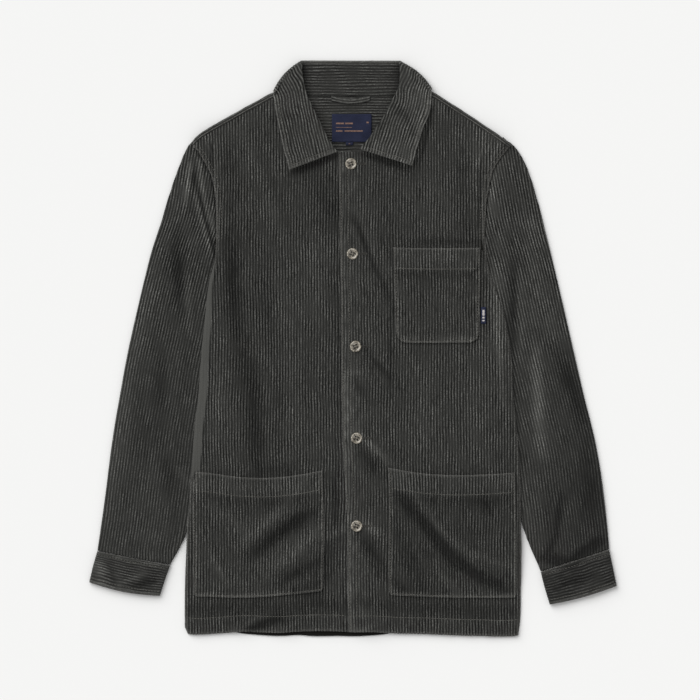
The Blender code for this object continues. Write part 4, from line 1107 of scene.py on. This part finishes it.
def makeCollarStand():
    left, right, top = collar["standLeft"], collar["standRight"], collar["standTop"]
    ys = np.concatenate([np.arange(0, int(44.5 / columnStep)) * columnStep + collar["standSeam"] - 0.4,
                         top - np.array([2.9, 2.0, 1.2, 0.6, 0.2, 0.0])])
    xs = np.linspace(left, right, 29)[:, None]
    x, y = xs + 0 * ys, ys + 0 * xs
    normals = slopeNormals(standFace, x, y)
    wales = y / cloth["pitch"] + 0.4 + 0.2 * ripple(x * 0.4, y, 34.0, 73)
    # painted shadow of the leaves darkens the stand towards its ends; it is also darker about its middle
    # height
    napAndPaintedLight = 1.08 - 0.4 * bell(np.minimum(x - left, right - x) - 4.0, 7.0) - 0.15 * bell(y - 380.0, 9.0)
    return makeWall("collarStand", groovesUnder(x, y, standFace(x, y), normals), wales, x, corduroy, normals,
                    wear=0.5 * bell(top - y, 3.0), napAndPaintedLight=napAndPaintedLight, clear=0.75)


collarFall = makeCollarFall()
collarStand = makeCollarStand()
dress(collarFall, "collar_fall")
dress(collarStand, "collar_stand")
print("collar made")


# Labels and hanger loop

labels = {
    "neck": (-28.3, 284.3, 26.4, 322.9), "size": (-9.2, 279.6, 1.0, 284.0),   # x1, y1, x2, y2
    "pocket": (177.3, 33.5, 184.4, 56.6),
    "wall": 0.7,
    # plain satin bars where the photo has lettering: x1, y1, x2, y2
    "copper": ((-22.8, 308.7, -12.0, 311.1), (-10.0, 308.7, 0.7, 311.1), (-22.8, 304.0, -1.0, 304.7),
               (-22.8, 298.4, -14, 300.4), (-11, 298.4, 14, 300.4),
               (19.4, 310, 22.4, 312.4), (-5.4, 281.4, -3, 282.2)),
    "pale": ((179.0, 44.6, 182.6, 52.4), (179.0, 40.6, 182.6, 43.0), (179.0, 36.8, 182.6, 39.0)),
}
loopTape = {"x1": -29.1, "x2": 24.0, "y": 344.6, "sag": 4.2, "width": 8.0, "pile": 0.5, "wales": 2.2}


def makePatch(name, box, face):
    x1, y1, x2, y2 = box
    xs = np.linspace(x1, x2, max(int((x2 - x1) / 1.5), 3))
    ys = np.linspace(y1, y2, max(int((y2 - y1) / 1.5), 3))[:, None]
    x, y = xs + 0 * ys, ys + 0 * xs
    points = np.stack([x, y, face(x, y)], axis=-1)
    return makeWall(name, points, y, x, labelWeave, slopeNormals(face, x, y), depth=labels["wall"],
                    inner=(3, 3), pile=0.0)


def neckFace(x, y):
    return 2 * cloth["wall"] + cloth["yokeRest"] + 0.75 + labels["wall"] + 0.2 * ripple(x, y, 18.0, 81)


def tabFace(x, y):
    return frontUnder(1, x, y) + 2 * cloth["wall"] - 0.9 + labels["wall"]


neckLabel = makePatch("neckLabel", labels["neck"], neckFace)
sizeTab = makePatch("sizeTab", labels["size"], neckFace)
pocketTab = makePatch("pocketTab", labels["pocket"], tabFace)


def makeLoop():  # a strip of the same cloth, folded round and caught at both ends
    t = np.linspace(0, 1, 90)[:, None]
    q = np.linspace(-1, 1, 17)
    bow = np.sin(math.pi * t)
    x = loopTape["x1"] + (loopTape["x2"] - loopTape["x1"]) * t + 0 * q
    half = loopTape["width"] / 2 + 0.35 * ripple(x, 0 * x, 13.0, 85)
    y = loopTape["y"] - loopTape["sag"] * bow + half * q
    z = 2 * cloth["wall"] + cloth["yokeRest"] + 0.9 + 1.4 * bow + 2.0 * np.sqrt(np.clip(1.02 - q ** 2, 0, 1))
    points = np.stack([x, y, z + 0.2 * ripple(x, y, 8.0, 83)], axis=-1)
    normals = -gridNormals(points)
    normals = normals * np.sign(normals[..., 2:3])
    napAndPaintedLight = 1.55 + 0.3 * ripple(x, y, 7.0, 87)
    pile = loopTape["pile"]
    wales = q * loopTape["wales"] / 2 + 0 * x
    return makeWall("hangerLoop", points - normals * pile, wales, x, corduroy, normals,
                    depth=0.6, inner=(4, 3), napAndPaintedLight=napAndPaintedLight, pile=pile)


hangerLoop = makeLoop()
dress(neckLabel, "neck_label")
dress(sizeTab, "size_tab")
dress(pocketTab, "pocket_tab")
dress(hangerLoop, "hanger_loop")


# Buttons, their thread and the buttonholes

buttons = {
    "places": ((-2.1, 254.3), (0.0, 130.0), (4.3, 2.2), (5.8, -124.5), (5.8, -245.8)),
    "hole": 1.15, "holeOut": 1.9, "thread": 0.2,
    "profile": (  # out from the middle, up from the underside
        (0.0, 1.9), (3.6, 1.85), (4.2, 1.5), (4.9, 1.55), (5.6, 2.3), (6.3, 2.68), (6.9, 2.66), (7.45, 2.3),
        (7.75, 1.75), (7.8, 1.3), (7.6, 0.9), (6.9, 0.4), (5.0, 0.0), (0.0, 0.0)),
    "slot": (4.0, 19.5), "slotStitch": 0.55, "bar": (19.1, 19.6, 20.1),   # the buttonhole, beside the button
}


def makeButtonMesh():
    bm = bmesh.new()
    ring = [bm.verts.new((r * mm, 0, z * mm)) for r, z in buttons["profile"]]
    edges = [bm.edges.new(pair) for pair in zip(ring, ring[1:])]
    bmesh.ops.spin(bm, geom=ring + edges, axis=(0, 0, 1), cent=(0, 0, 0), angle=2 * math.pi, steps=48)
    bmesh.ops.remove_doubles(bm, verts=bm.verts, dist=2e-6)
    bmesh.ops.recalc_face_normals(bm, faces=bm.faces)
    disc = addMesh("buttonBlank", bm, horn)
    drill = bmesh.new()
    out, radius = buttons["holeOut"], buttons["hole"] * mm
    for x, y in ((-out, -out), (-out, out), (out, -out), (out, out)):
        made = bmesh.ops.create_cone(
            drill, cap_ends=True, segments=16, radius1=radius, radius2=radius, depth=8 * mm)
        bmesh.ops.translate(drill, verts=made["verts"], vec=(x * mm, y * mm, 1.2 * mm))
    holes = addMesh("buttonDrill", drill, horn)
    disc.modifiers.new("holes", "BOOLEAN").object = holes
    mesh = bpy.data.meshes.new_from_object(disc.evaluated_get(bpy.context.evaluated_depsgraph_get()))
    bpy.data.objects.remove(disc)
    bpy.data.objects.remove(holes)
    return mesh


def addStrand(bm, start, end, radius, sides=6):  # one laid thread, round, with pinched ends
    start, end = np.array(start, float) * mm, np.array(end, float) * mm
    axis = unit(end - start)
    flat = unit(np.cross(axis, np.array([0, 0, 1.0])))
    up = np.cross(flat, axis)
    angles = np.linspace(0, 2 * math.pi, sides, endpoint=False)
    around = [math.cos(a) * flat + math.sin(a) * up for a in angles]
    rings = []
    for t, scale in ((0.0, 0.35), (0.2, 1.0), (0.8, 1.0), (1.0, 0.35)):
        middle = start + (end - start) * t
        rings.append([bm.verts.new(middle + radius * mm * scale * out) for out in around])
    for low, high in zip(rings, rings[1:]):
        for k in range(sides):
            bm.faces.new((low[k], low[(k + 1) % sides], high[(k + 1) % sides], high[k]))
    bm.faces.new(rings[0][::-1])
    bm.faces.new(rings[-1])


def levelAt(face, x, y):  # a face's height at one place
    return float(face(np.array([x]), np.array([y]))[0])


def upperFront(x, y):
    return frontFace(1, x, y)


def addBars(name, boxes, face, material, upright):  # satin stitch: strands side by side
    bm = bmesh.new()
    for x1, y1, x2, y2 in boxes:
        for a in np.arange(0.25, (x2 - x1) if upright else (y2 - y1), 0.5):
            ends = [(x1 + a, y1), (x1 + a, y2)] if upright else [(x1, y1 + a), (x2, y1 + a)]
            addStrand(bm, *[(*end, levelAt(face, *end) + 0.12) for end in ends], 0.26, 5)
    mount(addMesh(name, bm, material))


addBars("neckLabelBars", labels["copper"], neckFace, copperThread, True)
addBars("pocketTabBars", labels["pale"], tabFace, paleThread, False)
print("labels made")


def sewButton(bm, x, y, seat, turn):  # two rows of thread through the four holes
    out = buttons["holeOut"]
    for across in (-out - 0.2, -out + 0.2, out - 0.2, out + 0.2):
        ends = []
        for along in (-out - 0.3, out + 0.3):
            ends.append((x + along * math.cos(turn) - across * math.sin(turn),
                         y + along * math.sin(turn) + across * math.cos(turn), seat + 2.0))
        addStrand(bm, *ends, buttons["thread"])


def sewSlot(bm, x, y):  # two lips of close stitches and a bar at the far end
    for px in x + np.arange(*buttons["slot"], buttons["slotStitch"]):
        top = levelAt(upperFront, px, y)
        for side in (-1, 1):
            addStrand(bm, (px, y + side * 0.25, top + 0.25), (px, y + side * 1.6, top + 0.1), 0.28, 5)
    top = levelAt(upperFront, x + buttons["slot"][1], y) + 0.3
    for px in x + np.array(buttons["bar"]):
        addStrand(bm, (px, y - 1.9, top), (px, y + 1.9, top), 0.3, 5)


buttonMesh = makeButtonMesh()
threads, slots = bmesh.new(), bmesh.new()
for k, (x, y) in enumerate(buttons["places"]):
    node = f"button_{k + 1}"
    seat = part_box(node)[0].z / mm
    piece = addObject(f"button{k + 1}", buttonMesh.copy())
    piece.location = (x * mm, y * mm, seat * mm)
    piece.rotation_euler = (0, 0, random.Random(k).uniform(-0.5, 0.5))
    mount(piece, node)
    sewButton(threads, x, y, seat, piece.rotation_euler[2])
    sewSlot(slots, x, y)
mount(addMesh("buttonThreads", threads, buttonThread))
mount(addMesh("buttonholes", slots, buttonThread))
print("buttons made")


# Stitching: one strand for each stitch, on the face it is sewn through

def sewPath(bm, points):  # a stitch every few millimetres along a path of x, y, z
    points = np.array(points, float)
    reach = np.concatenate([[0], np.cumsum(np.linalg.norm(np.diff(points, axis=0), axis=1))])
    starts = np.arange(0, reach[-1] - stitchCut["length"], stitchCut["length"] + stitchCut["gap"])
    ends = [np.stack([np.interp(s, reach, points[:, c]) for c in range(3)], axis=-1)
            for s in (starts, starts + stitchCut["length"])]
    for start, end in zip(*ends):
        up = np.array([0, 0, stitchCut["raise"]])
        addStrand(bm, start + up, end + up, stitchCut["radius"], 4)


def sewLine(bm, points, height):
    points = np.array(points, float)
    sewPath(bm, np.column_stack([points, height(points[:, 0], points[:, 1])]))


def curveLine(ys, xOf):
    return [(float(xOf(y)), float(y)) for y in ys]


def sewFronts(bm):
    step = stitchCut["step"]
    for side in (-1, 1):
        face = lambda x, y, s=side: frontFace(s, x, y)
        hemXs = np.arange(*stitchCut["hem"][side], step)
        sewLine(bm, [(x, float(hemY(x)) + body["hemBand"]) for x in hemXs], face)
        seamXs = np.arange(*stitchCut["shoulder"], step) * side
        sewLine(bm, [(x, float(shoulderY(x)) - body["yokeForward"] + 2.2) for x in seamXs],
                lambda x, y: face(x, y) + 0.4)
        for inset in stitchCut["armhole"]:
            run = curveLine(np.arange(150.0, 280.0, 3.0), lambda y: sideX[side](y) - side * inset)
            sewLine(bm, run, lambda x, y: face(x, y) + 0.15)
    for low, inset in ((-370, body["lapBand"]), (-388, stitchCut["edge"])):
        sewLine(bm, curveLine(np.arange(low, 268, step), lambda y: lapX(y) + inset), upperFront)


def sewPocket(bm, spec):
    left, right, top, low = pocketCurves(spec)
    face = lambda x, y: pocketFace(spec, x, y)
    x1, x2 = spec["left"][0][1], spec["right"][0][1]
    edge, step = stitchCut["edge"], stitchCut["step"]
    downwards = np.arange(float(top(x1)) - 1, float(low(x1 + 6)) + edge, -step)
    upwards = np.arange(float(low(x2 - 6)) + edge, float(top(x2)) - 1, step)
    run = [(float(left(y)) + edge, y) for y in downwards]
    run += [(x, float(low(x)) + edge) for x in np.arange(x1 + 3.5, x2 - 3.0, 2.5)]
    run += [(float(right(y)) - edge, y) for y in upwards]
    sewLine(bm, run, face)
    sewLine(bm, [(x, float(top(x)) - spec["band"]) for x in np.arange(x1 + 3, x2 - 3, step)], face)


bm = bmesh.new()
sewFronts(bm)
for spec in pockets.values():
    sewPocket(bm, spec)
for path in sewn:
    sewPath(bm, path)
seamStitches = addMesh("seamStitches", bm, seamThread)
mount(seamStitches)
print("stitching made:", len(seamStitches.data.polygons), "faces")


# Surface, light and camera

studio = {
    "floor": "#efefee", "floorHalf": 6.0,
    "floorBelow": 0.4,    # clear of the cloth's underside
    "sky": 0.6, "sun": 2.36, "sunRaised": 38.0, "sunFrom": 133.0, "sunSpread": 56.0,
    "framed": 0.966, "centre": (-0.00345, -0.00276), "cameraHeight": 2.0,
}


def paintedFloor(name, code):
    # Painted board: even, matt, a little grain in its roughness.
    material, tree, shader = newMaterial(name)
    place = addNode(tree, "TexCoord").outputs["Object"]
    grain = addNode(tree, "TexNoise", {"Vector": place, "Scale": 40.0, "Detail": 2.0})
    rough = addNode(tree, "MapRange", {"Value": grain, "To Min": 0.85, "To Max": 0.95})
    feed(shader, {"Base Color": srgb(code), "Roughness": rough, "Specular IOR Level": 0.0})
    return material


bm = bmesh.new()
bmesh.ops.create_grid(bm, x_segments=1, y_segments=1, size=studio["floorHalf"])
floor = addMesh("floor", bm, paintedFloor("paleBoard", studio["floor"]), smooth=False)
floor.location.z = -studio["floorBelow"] * mm

world = bpy.data.worlds.new("studioSky")
bpy.context.scene.world = world
world.use_nodes = True
feed(world.node_tree.nodes["Background"], {"Color": (1.0, 1.0, 1.0, 1.0), "Strength": studio["sky"]})

light = bpy.data.lights.new("softSun", "SUN")
light.energy = studio["sun"]
light.angle = math.radians(studio["sunSpread"])
sun = addObject("softSun", light)
sun.rotation_euler = (0, math.radians(90 - studio["sunRaised"]), math.radians(studio["sunFrom"]))

lens = bpy.data.cameras.new("overhead")
lens.type = "ORTHO"
lens.ortho_scale = studio["framed"]
camera = addObject("overhead", lens)
camera.location = (*studio["centre"], studio["cameraHeight"])
bpy.context.scene.camera = camera
bpy.context.scene.view_settings.view_transform = "Standard"
